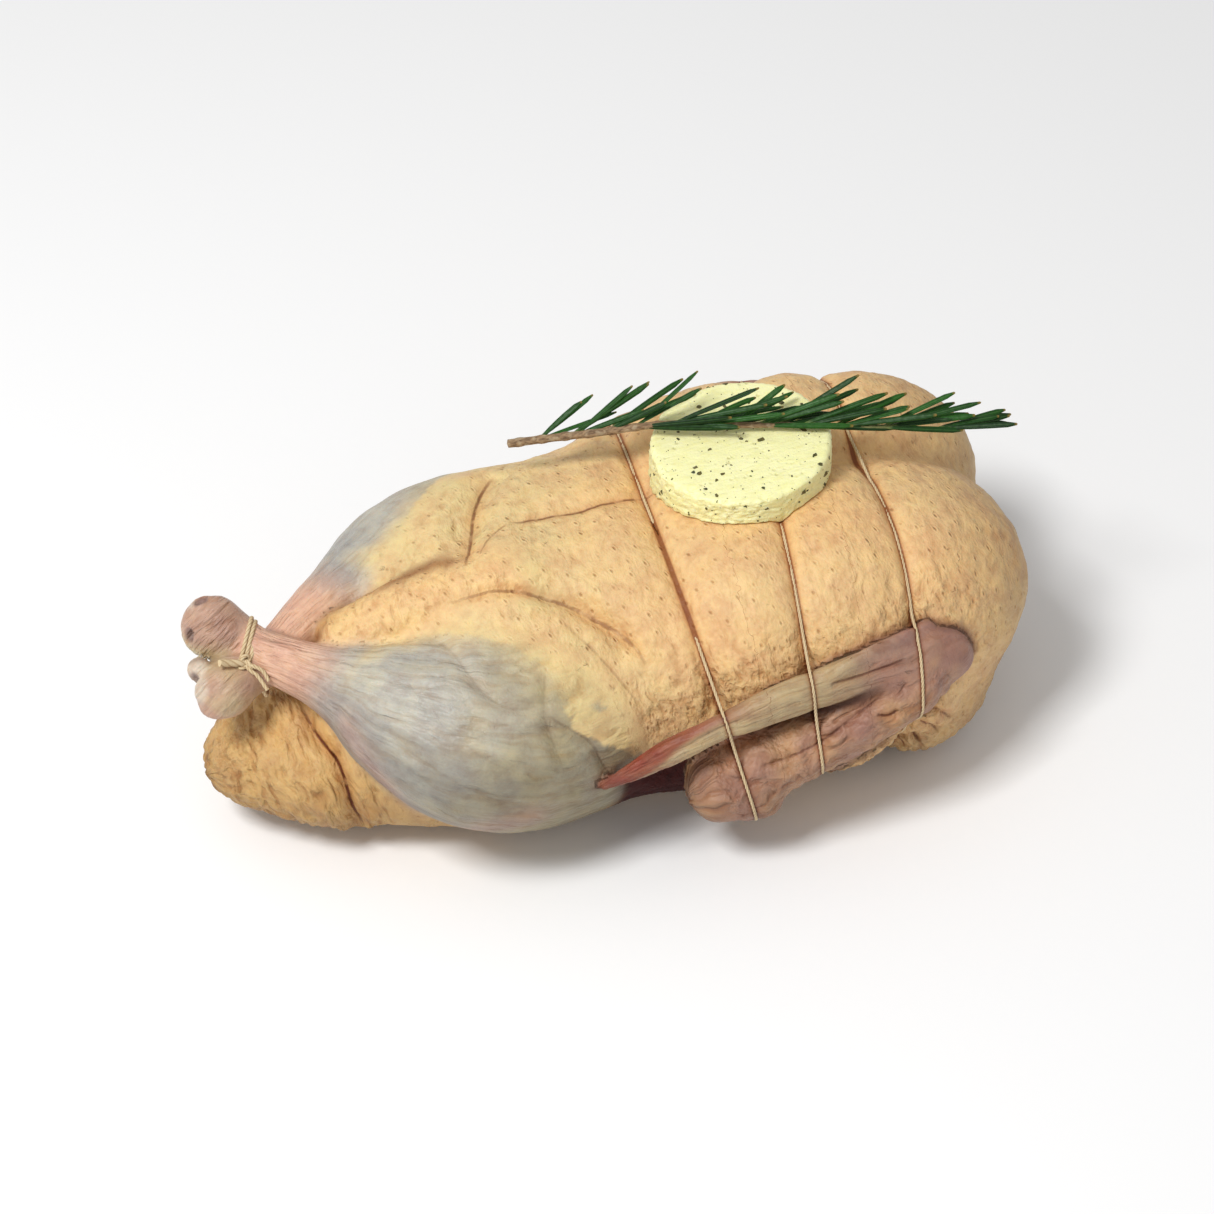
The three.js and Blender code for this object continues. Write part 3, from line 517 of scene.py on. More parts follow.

# %% [markdown]
# ## Creases
#
# A crease is a line on the skin where it has folded: thin, a little deeper than what is round it and darkened by
# painted shade. Each one below is a short list of points that it passes through, with its depth, its width and how
# much painted shade it gets. They are pressed into the mesh here. The skin's material paints their line of shade
# later, from the same lines.

# %% Lines of the creases
CREASES = [
    dict(line=[(-37, 11, 100), (-27, 10, 101), (-12, 8, 103), (3, 9, 103), (17, 10, 102)],
         depth=0.7, width=1.2, crease_shade=0.75),
    dict(line=[(-68, -17, 94), (-54, -18, 97), (-43, -21, 96), (-34, -26, 95), (-27, -31, 94), (-20, -38, 92),
               (-16, -42, 90), (-11, -49, 87), (-8, -56, 83)],
         depth=1.6, width=1.7, crease_shade=0.6),
    dict(line=[(-34, -36, 92), (-26, -47, 88), (-19, -56, 80), (-13, -62, 70)],
         depth=0.5, width=1.6, crease_shade=0.25),
    dict(line=[(-58, -6, 99), (-55, 6, 96), (-50, 20, 94), (-42, 36, 92), (-34, 44, 90)],
         depth=0.9, width=1.4, crease_shade=0.75),
    dict(line=[(-38, 11, 100), (-45, 8, 99), (-53, -2, 100)], depth=0.6, width=1.3, crease_shade=0.45),
    dict(line=[(-124, -10, 58), (-122, -20, 54), (-119, -29, 51), (-116, -35, 47), (-115, -40, 39),
               (-114, -42, 29), (-112, -43, 20), (-110, -44, 10)],
         depth=4.0, width=2.6, crease_shade=1.0),
    dict(line=[(-131, -24, 10), (-129, -26, 18), (-131, -25, 27)], depth=1.2, width=1.8, crease_shade=0.4),
    dict(line=[(-80, -21, 87), (-74, -31, 89), (-71, -43, 90), (-69, -53, 88), (-62, -62, 85), (-52, -64, 83),
               (-47, -61, 83)],
         depth=1.3, width=2.4, crease_shade=0.14),
    dict(line=[(-44, -50, 87), (-48, -63, 82), (-48, -69, 77), (-46, -74, 70), (-45, -76, 62)],
         depth=1.2, width=2.2, crease_shade=0.14),
    dict(line=[(-48, -66, 80), (-40, -69, 74), (-33, -71, 67), (-31, -72, 60), (-28, -71, 52)],
         depth=1.3, width=2.0, crease_shade=0.3),
    dict(line=[(-92, -38, 84), (-84, -52, 80), (-78, -62, 75), (-70, -69, 70), (-60, -74, 64)],
         depth=0.9, width=2.4, crease_shade=0.08),
    dict(line=[(-96, -46, 72), (-88, -58, 68), (-78, -67, 62), (-66, -73, 54), (-54, -76, 46)],
         depth=0.9, width=2.6, crease_shade=0.08),
]
WING_CREASES = [
    dict(line=[(50, -80, 79), (58, -81, 79), (66, -80, 79), (72, -79, 79), (80, -77, 79)],
         depth=1.0, width=1.1, crease_shade=0.7),
    dict(line=[(23, -86, 52), (32, -86, 52), (39, -87, 55), (45, -88, 58), (52, -87, 62), (58, -86, 66),
               (65, -84, 68), (72, -82, 70)],
         depth=1.3, width=1.5, crease_shade=0.55),
    dict(line=[(67, -86, 64), (71, -86, 62), (75, -84, 63)], depth=1.6, width=1.4, crease_shade=0.8),
]
PLEATS = [dict(line=line, depth=2.0, width=1.7, crease_shade=0.7) for line in (
    [(84, -66, 27), (86, -64, 22), (89, -64, 18)], [(88, -70, 33), (90, -68, 28), (94, -67, 21)],
    [(89, -74, 41), (93, -74, 37), (98, -70, 30), (101, -67, 25)],
    [(93, -75, 47), (97, -75, 45), (105, -67, 32)])]


skin_tree = search_tree(points)
base_normals = vertex_normals(points, quads)


def on_skin(line):
    """A smooth line laid onto the skin."""
    line = smooth_line(line, 8)
    laid = np.array([skin_tree.find(q)[0][:] for q in line])
    for _ in range(16):
        laid[1:-1] = 0.5 * laid[1:-1] + 0.25 * (laid[:-2] + laid[2:])
    return laid


for crease in CREASES + WING_CREASES + PLEATS:
    crease["laid"] = on_skin(crease["line"])


def along_creases(creases, p, normals):
    """Depth pressed in by all creases, and for the nearest one: signed distance, plain distance and painted shade.
    """
    depth, crease_shade = np.zeros(len(p)), np.zeros(len(p))
    signed, plain = np.full(len(p), 9.0), np.full(len(p), 9.0)
    for crease in creases:
        line = crease["laid"]
        near = np.flatnonzero(((p > line.min(0) - 9) & (p < line.max(0) + 9)).all(1))
        if not len(near):
            continue
        d, along, offset = nearest_on(line, p[near])
        ends = np.sqrt(np.clip(6 * along * (1 - along), 0, 1))
        depth[near] = np.maximum(depth[near], crease["depth"] * ends * np.exp(-(d / crease["width"]) ** 2))
        step = unit(np.gradient(line, axis=0))[(along * (len(line) - 1)).astype(int)]
        sideways = (offset * unit(np.cross(step, normals[near]))).sum(1)
        level = np.linalg.norm(offset - (offset * normals[near]).sum(1)[:, None] * normals[near], axis=1)
        level = np.where(d < 6, level, d)
        nearer = level < plain[near]
        which = near[nearer]
        signed[which], plain[which] = sideways[nearer], level[nearer]
        crease_shade[which] = (crease["crease_shade"] * ends)[nearer]
    return depth, np.stack([signed, plain, crease_shade], 1)


print("creases:", len(CREASES), "on the body,", len(WING_CREASES), "on each wing,", len(PLEATS), "pleats")

# %% [markdown]
# ## Relief of the skin
#
# Raw skin is never smooth. It sags in soft lumps, is drawn into fine gathers where twine holds it, and is
# wrinkled right across the fat of the tail. Relief larger than about two millimetres belongs to the mesh, because
# it catches the light on the outline too. Each vertex moves along its normal by the sum of a few noises, each one
# masked to the flesh that shows it. Noise in the coordinates of a limb, so much along it and so much round it,
# gives wrinkles that run as the limb does.

# %% Move the skin into its wrinkles
HOCK_ACROSS, HOCK_DOWN = (0.49, -0.69, -0.525), (-0.84, -0.224, -0.489)


def grain(p, facts):
    """Pattern coordinates in mm: the first runs across the wrinkles of each part, the second along them."""
    x, y, z = p.T
    zero = 0 * x
    flow = np.stack([x - 0.1 * y + 0.2 * (z - 60), 0.9 * y, 1.8 * z], 1)
    tail = np.stack([x + 0.25 * z, facts["tail_around"] * 20, 90 + zero], 1)
    flow = np.where((facts["share"][:, 1] > 0.5)[:, None], tail, flow)
    for i, (name, length, radius) in enumerate((("near_leg", 150, 26), ("far_leg", 150, 22))):
        along, around = facts[name + "_along"] * length, facts[name + "_around"] * radius
        drumstick = np.stack([around, 0.45 * along, 200 + 100 * i + zero], 1)
        hock = np.stack([1.9 * p @ HOCK_ACROSS, 0.6 * p @ HOCK_DOWN, 260 + 100 * i + zero], 1)
        mine = facts["share"][:, 2 + i] > 0.5
        flow = np.where(mine[:, None], np.where((x < HOCK_FROM)[:, None], hock, drumstick), flow)
    for name, place, length in (("forearm", 5, 90), ("hand", 6, 130)):
        stretch = 0.75 if name == "forearm" else 0.3
        strip = np.stack([facts[name + "_around"] * 9, stretch * facts[name + "_along"] * length,
            500 + zero], 1)
        flow = np.where((facts["share"][:, place] > 0.5)[:, None], strip, flow)
    return flow


def crumpled(p, seed=0):
    """Soft folds with a few sharper valleys, about -1 to 1."""
    valleys = ramp(0.25, 0.0, np.abs(noise(p * 0.8 + 20, seed + 30)))
    return noise(p, seed) + 0.5 * noise(p * 1.9 + 40, seed + 60) - 0.5 * valleys


def pebbles(p, seed=0):
    """Rounded bumps about one unit across: 1 at the middle of each and 0 where they meet."""
    cell = np.floor(p).astype(np.int64)
    first = np.full(len(p), 9.0)
    second = first.copy()
    for step in np.ndindex(3, 3, 3):
        c = cell + step - 1
        h = (c[:, 0] * 73856093 ^ c[:, 1] * 19349663 ^ c[:, 2] * 83492791 ^ seed * 2654435761) & 0xFFFFFFFF
        h = (h ^ (h >> 15)) * 2246822519 & 0xFFFFFFFF
        h ^= h >> 13
        jitter = np.stack([(h & 255) / 255, ((h >> 8) & 255) / 255, ((h >> 16) & 255) / 255], 1)
        d = np.linalg.norm(c + 0.15 + 0.7 * jitter - p, axis=1)
        second = np.minimum(second, np.maximum(first, d))
        first = np.minimum(first, d)
    return ramp(0, 0.7, second - first)


def wrinkle_strength(p, facts):
    x, y, z = p.T
    share = facts["share"]
    near_loops = np.maximum.reduce([np.exp(-(from_loop(loop, p) / 14) ** 2) for loop in LOOPS])
    side = np.clip((np.abs(y) - 25) / 30, 0, 1)
    gathers = near_loops * ramp(96, 66, z) * side
    between = ramp(5, 25, x) * ramp(105, 88, x) * ramp(92, 60, z) * side
    over_wing = ramp(26, 6, np.abs(facts["hand"])) * ramp(52, 66, z)
    thigh_front = ramp(-30, -8, x) * ramp(22, 4, x) * ramp(92, 70, z) * side
    trunk = (0.2 + 0.3 * gathers + 0.45 * between + 0.3 * over_wing + 0.12 * thigh_front
             + 0.1 * ramp(-10, -50, x))
    trunk = np.minimum(trunk, 0.95)
    neck_fold = ramp(60, 20, z) * ramp(60, 90, x)
    hock = ramp(HOCK_FROM, HOCK_FROM - 3, x) * share[:, 2]
    knee = ramp(0.5, 0.1, facts["near_leg_along"])
    return (share[:, 0] * (trunk + 0.3 * neck_fold) + share[:, 1] * 1.0 + share[:, 2] * (0.32 + 0.25 * knee)
            + share[:, 3] * 0.32 + share[:, 4] * 0.4 + share[:, 5] * 1.25 + share[:, 6] * 0.45 + 0.3 * hock)


def relief(p, facts):
    flow = grain(p, facts)
    share = facts["share"]
    warp = np.stack([noise(p / 12, 5), noise(p / 12, 6), 0 * p[:, 0]], 1)
    strength = wrinkle_strength(p, facts)
    legs = share[:, 2] + share[:, 3]
    lumps = 0.8 * noise(p / 26, 1) + 0.3 * noise(p / 11, 2)
    folds = crumpled((flow + 3 * warp) / (5.0, 13, 30), 3)
    pebble = pebbles((flow + 2 * warp) / (4.2, 5.2, 12), 8) - 0.6
    goose = noise(p / 2.3, 7)
    folds = 0.65 * strength * folds
    folds += pebble * (0.85 * share[:, 1] + 0.7 * share[:, 5] + 0.9 * strength * share[:, 0]
                       + 0.3 * share[:, 4])
    soft = 0.5 * noise((flow + 2 * warp) / (7, 9, 20), 9) * (share[:, 0] + share[:, 4] + 0.6 * legs)
    height = lumps + 0.05 * goose + facts["calm"] * (soft + folds * (1 - 0.25 * legs))
    return height * ramp(0.5, 6, p[:, 2])


def shaped(p, faces):
    normals = vertex_normals(p, faces)
    facts = anatomy(p)
    body, _ = along_creases(CREASES + PLEATS, p, normals)
    wing, _ = along_creases(WING_CREASES, near_side(p), normals)
    height = relief(p, facts) - body - wing
    moved = p + normals * height[:, None]
    moved[:, 2] = np.maximum(moved[:, 2], 0)
    return moved


skin_points = shaped(points, quads)
print("skin moved by up to", np.abs(skin_points - points).max().round(2), "mm")

# %% Make a mesh in metres
def new_object(name, data):
    made = bpy.data.objects.new(name, data)
    bpy.context.scene.collection.objects.link(made)
    return made


def smooth_faces(mesh):
    mesh.polygons.foreach_set("use_smooth", [True] * len(mesh.polygons))


def make_object(name, points_mm, faces):
    mesh = bpy.data.meshes.new(name)
    mesh.from_pydata(((points_mm + PLACE) / 1000).tolist(), [], [list(map(int, f)) for f in faces])
    mesh.validate()
    smooth_faces(mesh)
    return new_object(name, mesh)


def baked(source, name):
    """A plain mesh of an object with its modifiers applied. The source is removed."""
    graph = bpy.context.evaluated_depsgraph_get()
    mesh = bpy.data.meshes.new_from_object(source.evaluated_get(graph))
    bpy.data.objects.remove(source)
    mesh.name = name
    return new_object(name, mesh)


def millimetres(piece):
    co = np.empty(len(piece.data.vertices) * 3, np.float32)
    piece.data.vertices.foreach_get("co", co)
    return co.reshape(-1, 3).astype(float) * 1000 - PLACE


MOST_TRIANGLES = 196000
rough_bird = make_object("bird_skin", skin_points, quads)
triangles = 2 * len(quads)
if triangles > MOST_TRIANGLES:
    thin = rough_bird.modifiers.new("fewer faces", "DECIMATE")
    thin.ratio = MOST_TRIANGLES / triangles
bird = baked(rough_bird, "duck_skin")
triangle_mod = sum(len(f.vertices) - 2 for f in bird.data.polygons)
print("duck skin:", len(bird.data.vertices), "vertices,", triangle_mod, "triangles")

# %% [markdown]
# ## Pores
#
# Each plucked feather leaves a pore. On the breast they stand about 6 mm apart in no strict order, and they're
# closer where the skin is drawn together. A pore is hardly larger than a face of the mesh, so only its place is
# kept: every vertex remembers which way its nearest pore lies and how far it is. The material turns that into a
# small dark dimple with a raised rim, sharp at any distance, and it can't slide, since it's tied to the skin.

# %% Scatter the pores
rng = np.random.default_rng(11)


def scatter(candidates, spacing):
    """Points picked from candidates in a random order, none closer to another than its own spacing."""
    kept, cells, size = [], {}, float(spacing.max())
    for i in rng.permutation(len(candidates)):
        q = candidates[i]
        key = tuple((q // size).astype(int))
        around = [j for dx in (-1, 0, 1) for dy in (-1, 0, 1) for dz in (-1, 0, 1)
                  for j in cells.get((key[0] + dx, key[1] + dy, key[2] + dz), ())]
        if all(np.sum((candidates[j] - q) ** 2) > spacing[i] ** 2 for j in around):
            kept.append(i)
            cells.setdefault(key, []).append(i)
    return np.array(kept)


skin_mm = millimetres(bird)
facts = anatomy(skin_mm)
wrinkled = wrinkle_strength(skin_mm, facts)
spacing = 5.6 - 1.3 * ramp(0.25, 0.7, wrinkled)
pore_at = scatter(skin_mm, spacing)
pore_tree = search_tree(skin_mm[pore_at])
nearest_pore = np.array([pore_tree.find(q)[1] for q in skin_mm])
pore_offset = skin_mm - skin_mm[pore_at[nearest_pore]]
pore_distance = np.linalg.norm(pore_offset, axis=1)
print("pores:", len(pore_at), "mean distance to one:", pore_distance.mean().round(2), "mm")

# %% [markdown]
# ## Colour of the flesh
#
# The fat under the skin of the breast makes it a warm cream. Over the drumsticks there's no fat, so dark meat
# shows through it as a cold blue-grey, and the shank beyond is pink. The fat of the tail is yellow, the wing is
# mauve, and its thin last part is pale with a blood-red rim. These colours are told as named regions and blended
# at each vertex into one colour attribute, because they follow the anatomy and not any pattern in space.

# %% Paint the regions
def linear(*rgb):
    """A colour as a painter reads it, 0 to 255, turned into the linear light that shaders use."""
    c = np.array(rgb, float) / 255
    return np.where(c <= 0.04045, c / 12.92, ((c + 0.055) / 1.055) ** 2.4)


CREAM, WARM, PALE_GREEN = linear(230, 195, 143), linear(234, 188, 133), linear(222, 206, 152)
BLUE_GREY, SLATE, OLIVE_GREY = linear(188, 186, 174), linear(164, 164, 162), linear(182, 170, 134)
SHANK_PINK, SHANK_VIOLET = linear(224, 180, 156), linear(186, 150, 140)
TAIL_YELLOW, TAIL_SHADE, FLAP_YELLOW = linear(218, 180, 122), linear(202, 160, 104), linear(238, 198, 140)
WING_MAUVE, WING_TAN, WING_ROSE = linear(164, 126, 116), linear(184, 146, 112), linear(156, 114, 104)
# The last of these, a dark red, is painted shade for gaps and for the pocket under the hand.
HAND_PALE, RIM_RED, RAW_RED_SHADE = linear(186, 166, 130), linear(138, 64, 50), linear(62, 15, 12)
KNUCKLE, KNUCKLE_GREEN = linear(188, 154, 136), linear(198, 182, 142)
GRISTLE, HOLLOW = linear(224, 216, 200), linear(128, 104, 100)
# The second of these is a painted contact shadow; the first is also used as painted shade in the recess behind the
# flap and low on the near side.
BROWN, CONTACT_SHADOW, SHADED_FLESH = linear(150, 98, 56), linear(92, 42, 28), linear(164, 104, 72)


def mix(a, b, mask):
    mask = np.clip(mask, 0, 1)[:, None]
    return a * (1 - mask) + b * mask


def grey_of_leg(edge, side, soft, p, patchy):
    """How much dark meat shows: none above a line on the skin, all of it well below."""
    return ramp(-0.35 * soft, 0.65 * soft, beyond(edge, side, p) + 0.3 * soft * patchy)


GREY_EDGES = {
    "near_leg": dict(edge=[(-106, -22, 82), (-88, -19, 85), (-72, -26, 89), (-60, -33, 90), (-50, -42, 89),
                           (-41, -53, 86), (-30, -60, 83), (-10, -66, 80)],
                     side=(-0.25, -0.8, -0.5), soft=22),
    "far_leg": dict(edge=[(-106, 12, 80), (-92, 20, 87), (-80, 27, 90), (-68, 36, 90), (-56, 48, 84),
                          (-46, 58, 76)],
                    side=(-0.5, 0.75, -0.2), soft=13),
}
LEG_RIM = [(-113, -41, 71), (-109, -50, 62), (-102, -55, 48), (-91, -48, 24), (-80, -60, 28),
           (-72, -73, 39), (-58, -77, 44)]
YELLOW_EDGE = [(-34, -60, 81), (-37, -64, 79), (-40, -69, 74), (-33, -70, 68), (-23, -69, 59),
               (-13, -66, 52), (0, -66, 52)]


def region_colours(p, facts):
    x, y, z = p.T
    share = facts["share"]
    patchy, broad = noise(p / 11, 21), noise(p / 28, 22)
    trunk = mix(CREAM, WARM, 0.35 + 0.5 * broad)
    trunk = mix(trunk, PALE_GREEN, ramp(10, -40, x) * (0.45 + 0.4 * patchy) * ramp(60, 85, z))
    trunk = mix(trunk, TAIL_YELLOW, ramp(-40, -80, x) * ramp(70, 40, z))
    tail = mix(TAIL_YELLOW, TAIL_SHADE, 0.35 + 0.5 * patchy)
    yellow = ramp(-0.6, 0.9, beyond(YELLOW_EDGE, (0.6, 0.3, 0.75), p) + 0.8 * noise(p / 2.6, 23)) * (y < 0)
    yellow *= ramp(-46, -37, x)
    legs = []
    for name, rule in GREY_EDGES.items():
        along = facts[name + "_along"]
        grey = grey_of_leg(rule["edge"], rule["side"], rule["soft"], p, patchy)
        grey = np.maximum(grey, ramp(0.42, 0.5, along))
        if name == "near_leg":
            grey *= 1 - yellow * ramp(0.36, 0.3, along)
        meat = mix(BLUE_GREY, SLATE, 0.4 + 0.8 * broad)
        meat = mix(meat, OLIVE_GREY, ramp(0.34, 0.16, along) * 0.7 + 0.35 * patchy)
        meat = mix(meat, OLIVE_GREY, ramp(40, 16, z) * 0.9)
        leg = mix(mix(trunk, PALE_GREEN, 0.5 * ramp(-20, 0, beyond(rule["edge"], rule["side"], p))), meat, grey)
        leg = mix(leg, SHANK_PINK, ramp(0.46, 0.62, along + 0.03 * patchy))
        leg = mix(leg, SHANK_VIOLET, ramp(0.42, 0.6, along) * ramp(74, 60, z) * 0.6)
        knuckle = mix(KNUCKLE, KNUCKLE_GREEN, ramp(86, 76, z) if name == "near_leg" else 0.2 + patchy)
        if name == "far_leg":
            leg = mix(leg, SHADED_FLESH, ramp(80, 66, z) * ramp(0.42, 0.55, along) * 0.8)
        bright = yellow if name == "near_leg" else 0
        # Painted shade: the legs are darker towards their underside, except on the near leg's yellow patch.
        leg = leg * (1 - 0.34 * (1 - bright) * ramp(84, 60, z) * ramp(0.72, 0.6, along))[:, None]
        if name == "near_leg":
            leg = mix(leg, SHANK_VIOLET, 0.5 * np.exp(-(nearest_on(smooth_line(LEG_RIM, 6), p)[0] / 7) ** 2))
        leg = mix(leg, knuckle, ramp(0.8, 0.85, along))
        legs.append(leg)
    # Painted shade: olive brown low on the near side, below the thigh and the hand.
    trunk = mix(trunk, mix(OLIVE_GREY, BROWN, 0.25 + 0.3 * patchy),
                (1 - yellow) * ramp(-8, -14, x) * ramp(-70, -55, x) * ramp(58, 50, z) * (y < -40) * 0.8)
    flap = mix(FLAP_YELLOW, CREAM, 0.4 * patchy + 0.3)
    forearm = mix(mix(WING_TAN, WING_MAUVE, 0.3 + 0.8 * patchy), WING_ROSE, 0.2 + 0.6 * broad)
    along = facts["hand_along"]
    hand = mix(HAND_PALE, WING_MAUVE, ramp(0.42, 0.22, along) * 0.85 + 0.3 * patchy)
    hand = mix(hand, WING_ROSE, ramp(0.16, 0.0, along) * 0.8)
    upper = ramp(-1.5, 1.2, z - np.interp(along, [0, 0.2, 0.4, 0.6, 0.8, 1], [72, 77, 76, 71, 57, 42]))
    hand = mix(hand, RIM_RED, upper * ramp(0.46, 0.66, along) * 0.85)
    hand = mix(hand, RIM_RED, ramp(0.68, 0.85, along) * (0.4 + 1.2 * noise(p / (7, 7, 2.4), 24)))
    stack = np.stack([trunk, tail, *legs, flap, forearm, hand], 1)
    return (stack * share[:, :, None]).sum(1)


RECESS_SHADE_LINE = [(-114, -3, 77), (-107, 1, 79), (-100, 5, 80), (-92, 4, 85), (-83, 3, 91), (-72, 3, 94), (-64, 0, 97)]


def painted(p, facts):
    x, y, z = p.T
    colour = region_colours(p, facts)
    wing = facts["share"][:, 5] + facts["share"][:, 6]
    to_wing = np.minimum(facts["hand"], facts["forearm"])
    # Painted shade with some real red: a reddish band, then a dark contact shadow, on the body along the wing's
    # edge.
    colour = mix(colour, RIM_RED, 0.6 * (1 - wing) * np.exp(-(to_wing / 2.6) ** 2) * ramp(40, 60, z))
    colour = mix(colour, CONTACT_SHADOW, 0.85 * (1 - wing) * np.exp(-(to_wing / 1.1) ** 2) * ramp(40, 60, z))
    # Painted shade, dark red: the gap between hand and forearm on the body, the slit between them on the wing and
    # the pocket under the hand.
    between = ramp(7, 3, facts["hand"]) * ramp(8, 4, facts["forearm"]) * (1 - wing) * (x < 70)
    colour = mix(colour, RAW_RED_SHADE, 0.85 * between)
    slit_shade = ramp(4.5, 1.5, np.maximum(facts["hand"], facts["forearm"])) * wing * ramp(74, 60, x)
    colour = mix(colour, RAW_RED_SHADE, 0.8 * slit_shade)
    under_hand = z < np.interp(x, (-34, -14, 2, 30), (40, 47, 55, 62))
    pocket_shade = ramp(-27, -18, x) * ramp(20, 10, x) * ramp(-42, -50, y) * under_hand
    colour = mix(colour, RAW_RED_SHADE, pocket_shade * (1 - wing) * (facts["near_leg"] > 0.5))
    # Painted shade: brown in the recess behind the flap.
    recess_shade_distance = nearest_on(smooth_line(RECESS_SHADE_LINE, 6), p)[0]
    colour = mix(colour, BROWN, 0.85 * np.exp(-(recess_shade_distance / 4.2) ** 2))
    tip = np.exp(-(np.linalg.norm(p - TAIL["line"][-1], axis=1) / 6) ** 2)
    colour = mix(colour, BROWN, 0.5 * tip)
    # Painted shade: darker towards the bottom, and towards the far right end.
    colour = colour * (0.56 + 0.44 * ramp(0, 60, z))[:, None] * (1 - 0.3 * ramp(100, 150, x))[:, None]
    near_hocks = x < -140
    for knob in KNOBS[:2] + KNOBS[3:5]:
        colour = mix(colour, GRISTLE, 0.65 * ramp(1.0, -0.4, lobe(knob, p)) * near_hocks * ramp(-151, -155, x))
    for hollow in HOLLOWS:
        colour = mix(colour, HOLLOW, 0.8 * ramp(1.2, 0, lobe(hollow, p)) * near_hocks)
    return colour


def keep(mesh, name, kind, values):
    """Store one value for each vertex as a named attribute."""
    attribute = mesh.attributes.new(name, kind, "POINT")
    key = {"FLOAT": "value", "FLOAT_VECTOR": "vector", "FLOAT_COLOR": "color"}[kind]
    attribute.data.foreach_set(key, np.ascontiguousarray(values, np.float32).ravel())


skin_normals = base_normals[[skin_tree.find(q)[1] for q in skin_mm]]
_, body_creases = along_creases(CREASES + PLEATS, skin_mm, skin_normals)
_, wing_creases = along_creases(WING_CREASES, near_side(skin_mm), skin_normals)
creases = np.where((wing_creases[:, 1] < body_creases[:, 1])[:, None], wing_creases, body_creases)
strings = np.stack([from_loop(loop, skin_mm) for loop in LOOPS], 1)
string_side = strings[np.arange(len(strings)), np.abs(strings).argmin(1)]

tint = painted(skin_mm, facts)
legs = facts["share"][:, 2] + facts["share"][:, 3]
wings = facts["share"][:, 5] + facts["share"][:, 6]
pore_strength = ((1 - 0.5 * wrinkled) * (1 - 0.8 * legs) * (1 - 0.7 * wings)
                 * (1 - 0.55 * facts["share"][:, 1]) * ramp(2, 12, skin_mm[:, 2]))
wet = np.clip(0.25 + 0.5 * legs + 0.35 * wings + 0.3 * facts["seam"], 0, 1)
keep(bird.data, "tint", "FLOAT_COLOR", np.column_stack([tint, np.ones(len(tint))]))
keep(bird.data, "feel", "FLOAT_COLOR", np.stack([wrinkled, pore_strength, wet, facts["seam"]], 1))
keep(bird.data, "crease", "FLOAT_VECTOR", creases)
keep(bird.data, "pore", "FLOAT_VECTOR", pore_offset)
keep(bird.data, "pore_distance", "FLOAT", pore_distance)
keep(bird.data, "grain", "FLOAT_VECTOR", grain(skin_mm, facts))
keep(bird.data, "string", "FLOAT", string_side)
keep(bird.data, "calm", "FLOAT", facts["calm"])
print("mean colour of the skin, linear:", tint.mean(0).round(3))

# %% [markdown]
# ## Building materials in code
#
# A material is a small graph. A few helpers keep the code short. One opens a material and one opens a group with
# named inputs and outputs. Every helper after them adds its nodes to the graph that was opened last, and an input
# may be given a number or another node's output. A group holds an effect that several materials share and hands
# out only colours, masks and heights. The shader itself stays in the material.

# %% Helpers for node graphs
def plug(socket, value):
    """Link another node's output to a socket of the open tree, or set the socket to a number, vector or colour."""
    if isinstance(value, bpy.types.NodeSocket):
        tree.links.new(value, socket)
    else:
        socket.default_value = (*value, 1) if isinstance(value, np.ndarray) else value


def add(kind, inputs=(), **settings):
    """Add a node to the open tree. Inputs are set by name or number."""
    node = tree.nodes.new(kind)
    for key, value in settings.items():
        setattr(node, key, value)
    for key, value in dict(inputs).items():
        plug(node.inputs[key], value)
    return node


def maths(operation, a, b=0.0, c=0.0):
    return add("ShaderNodeMath", {0: a, 1: b, 2: c}, operation=operation).outputs[0]


def times(*factors):
    return reduce(lambda a, b: maths("MULTIPLY", a, b), factors)


def plus(*terms):
    return reduce(lambda a, b: maths("ADD", a, b), terms)


def minus(a, b):
    return maths("SUBTRACT", a, b)


def fade(value, low, high, to_low=0.0, to_high=1.0):
    """Map a value smoothly from low..high to to_low..to_high."""
    return add("ShaderNodeMapRange", {"Value": value, "From Min": low, "From Max": high, "To Min": to_low,
        "To Max": to_high}, interpolation_type="SMOOTHSTEP").outputs[0]


def blend(mask, a, b, how="MIX"):
    return add("ShaderNodeMix", {0: mask, 6: a, 7: b}, data_type="RGBA", blend_type=how).outputs[2]


def paint(colour, *layers):
    """Lay colours over a colour. Each layer is a mask, a colour as a painter reads it and perhaps how to mix it."""
    for mask, rgb, *how in layers:
        colour = blend(mask, colour, linear(*rgb), *how)
    return colour


def new_group(name, inputs, outputs, kind="ShaderNodeTree"):
    """Open a new node group with named inputs and outputs. A number is an input's default."""
    global tree
    tree = bpy.data.node_groups.new(name, kind)
    for direction, sockets in (("INPUT", inputs), ("OUTPUT", outputs)):
        for socket, told in sockets.items():
            named = isinstance(told, str)
            made = tree.interface.new_socket(socket, in_out=direction,
                socket_type="NodeSocket" + (told if named else "Float"))
            if not named:
                made.default_value = told
    return tree, tree.nodes.new("NodeGroupInput").outputs, tree.nodes.new("NodeGroupOutput").inputs


def place_group(group, inputs=()):
    return add("ShaderNodeGroup", inputs, node_tree=group).outputs


def new_material(name):
    """Open a new material: itself, its Principled shader and its object coordinates in mm."""
    global tree
    made = bpy.data.materials.new(name)
    made.use_nodes = True
    tree = made.node_tree
    coordinates = add("ShaderNodeTexCoord").outputs["Object"]
    mm = add("ShaderNodeMapping", {"Vector": coordinates, "Scale": (1000, 1000, 1000)}).outputs[0]
    return made, tree.nodes["Principled BSDF"], mm


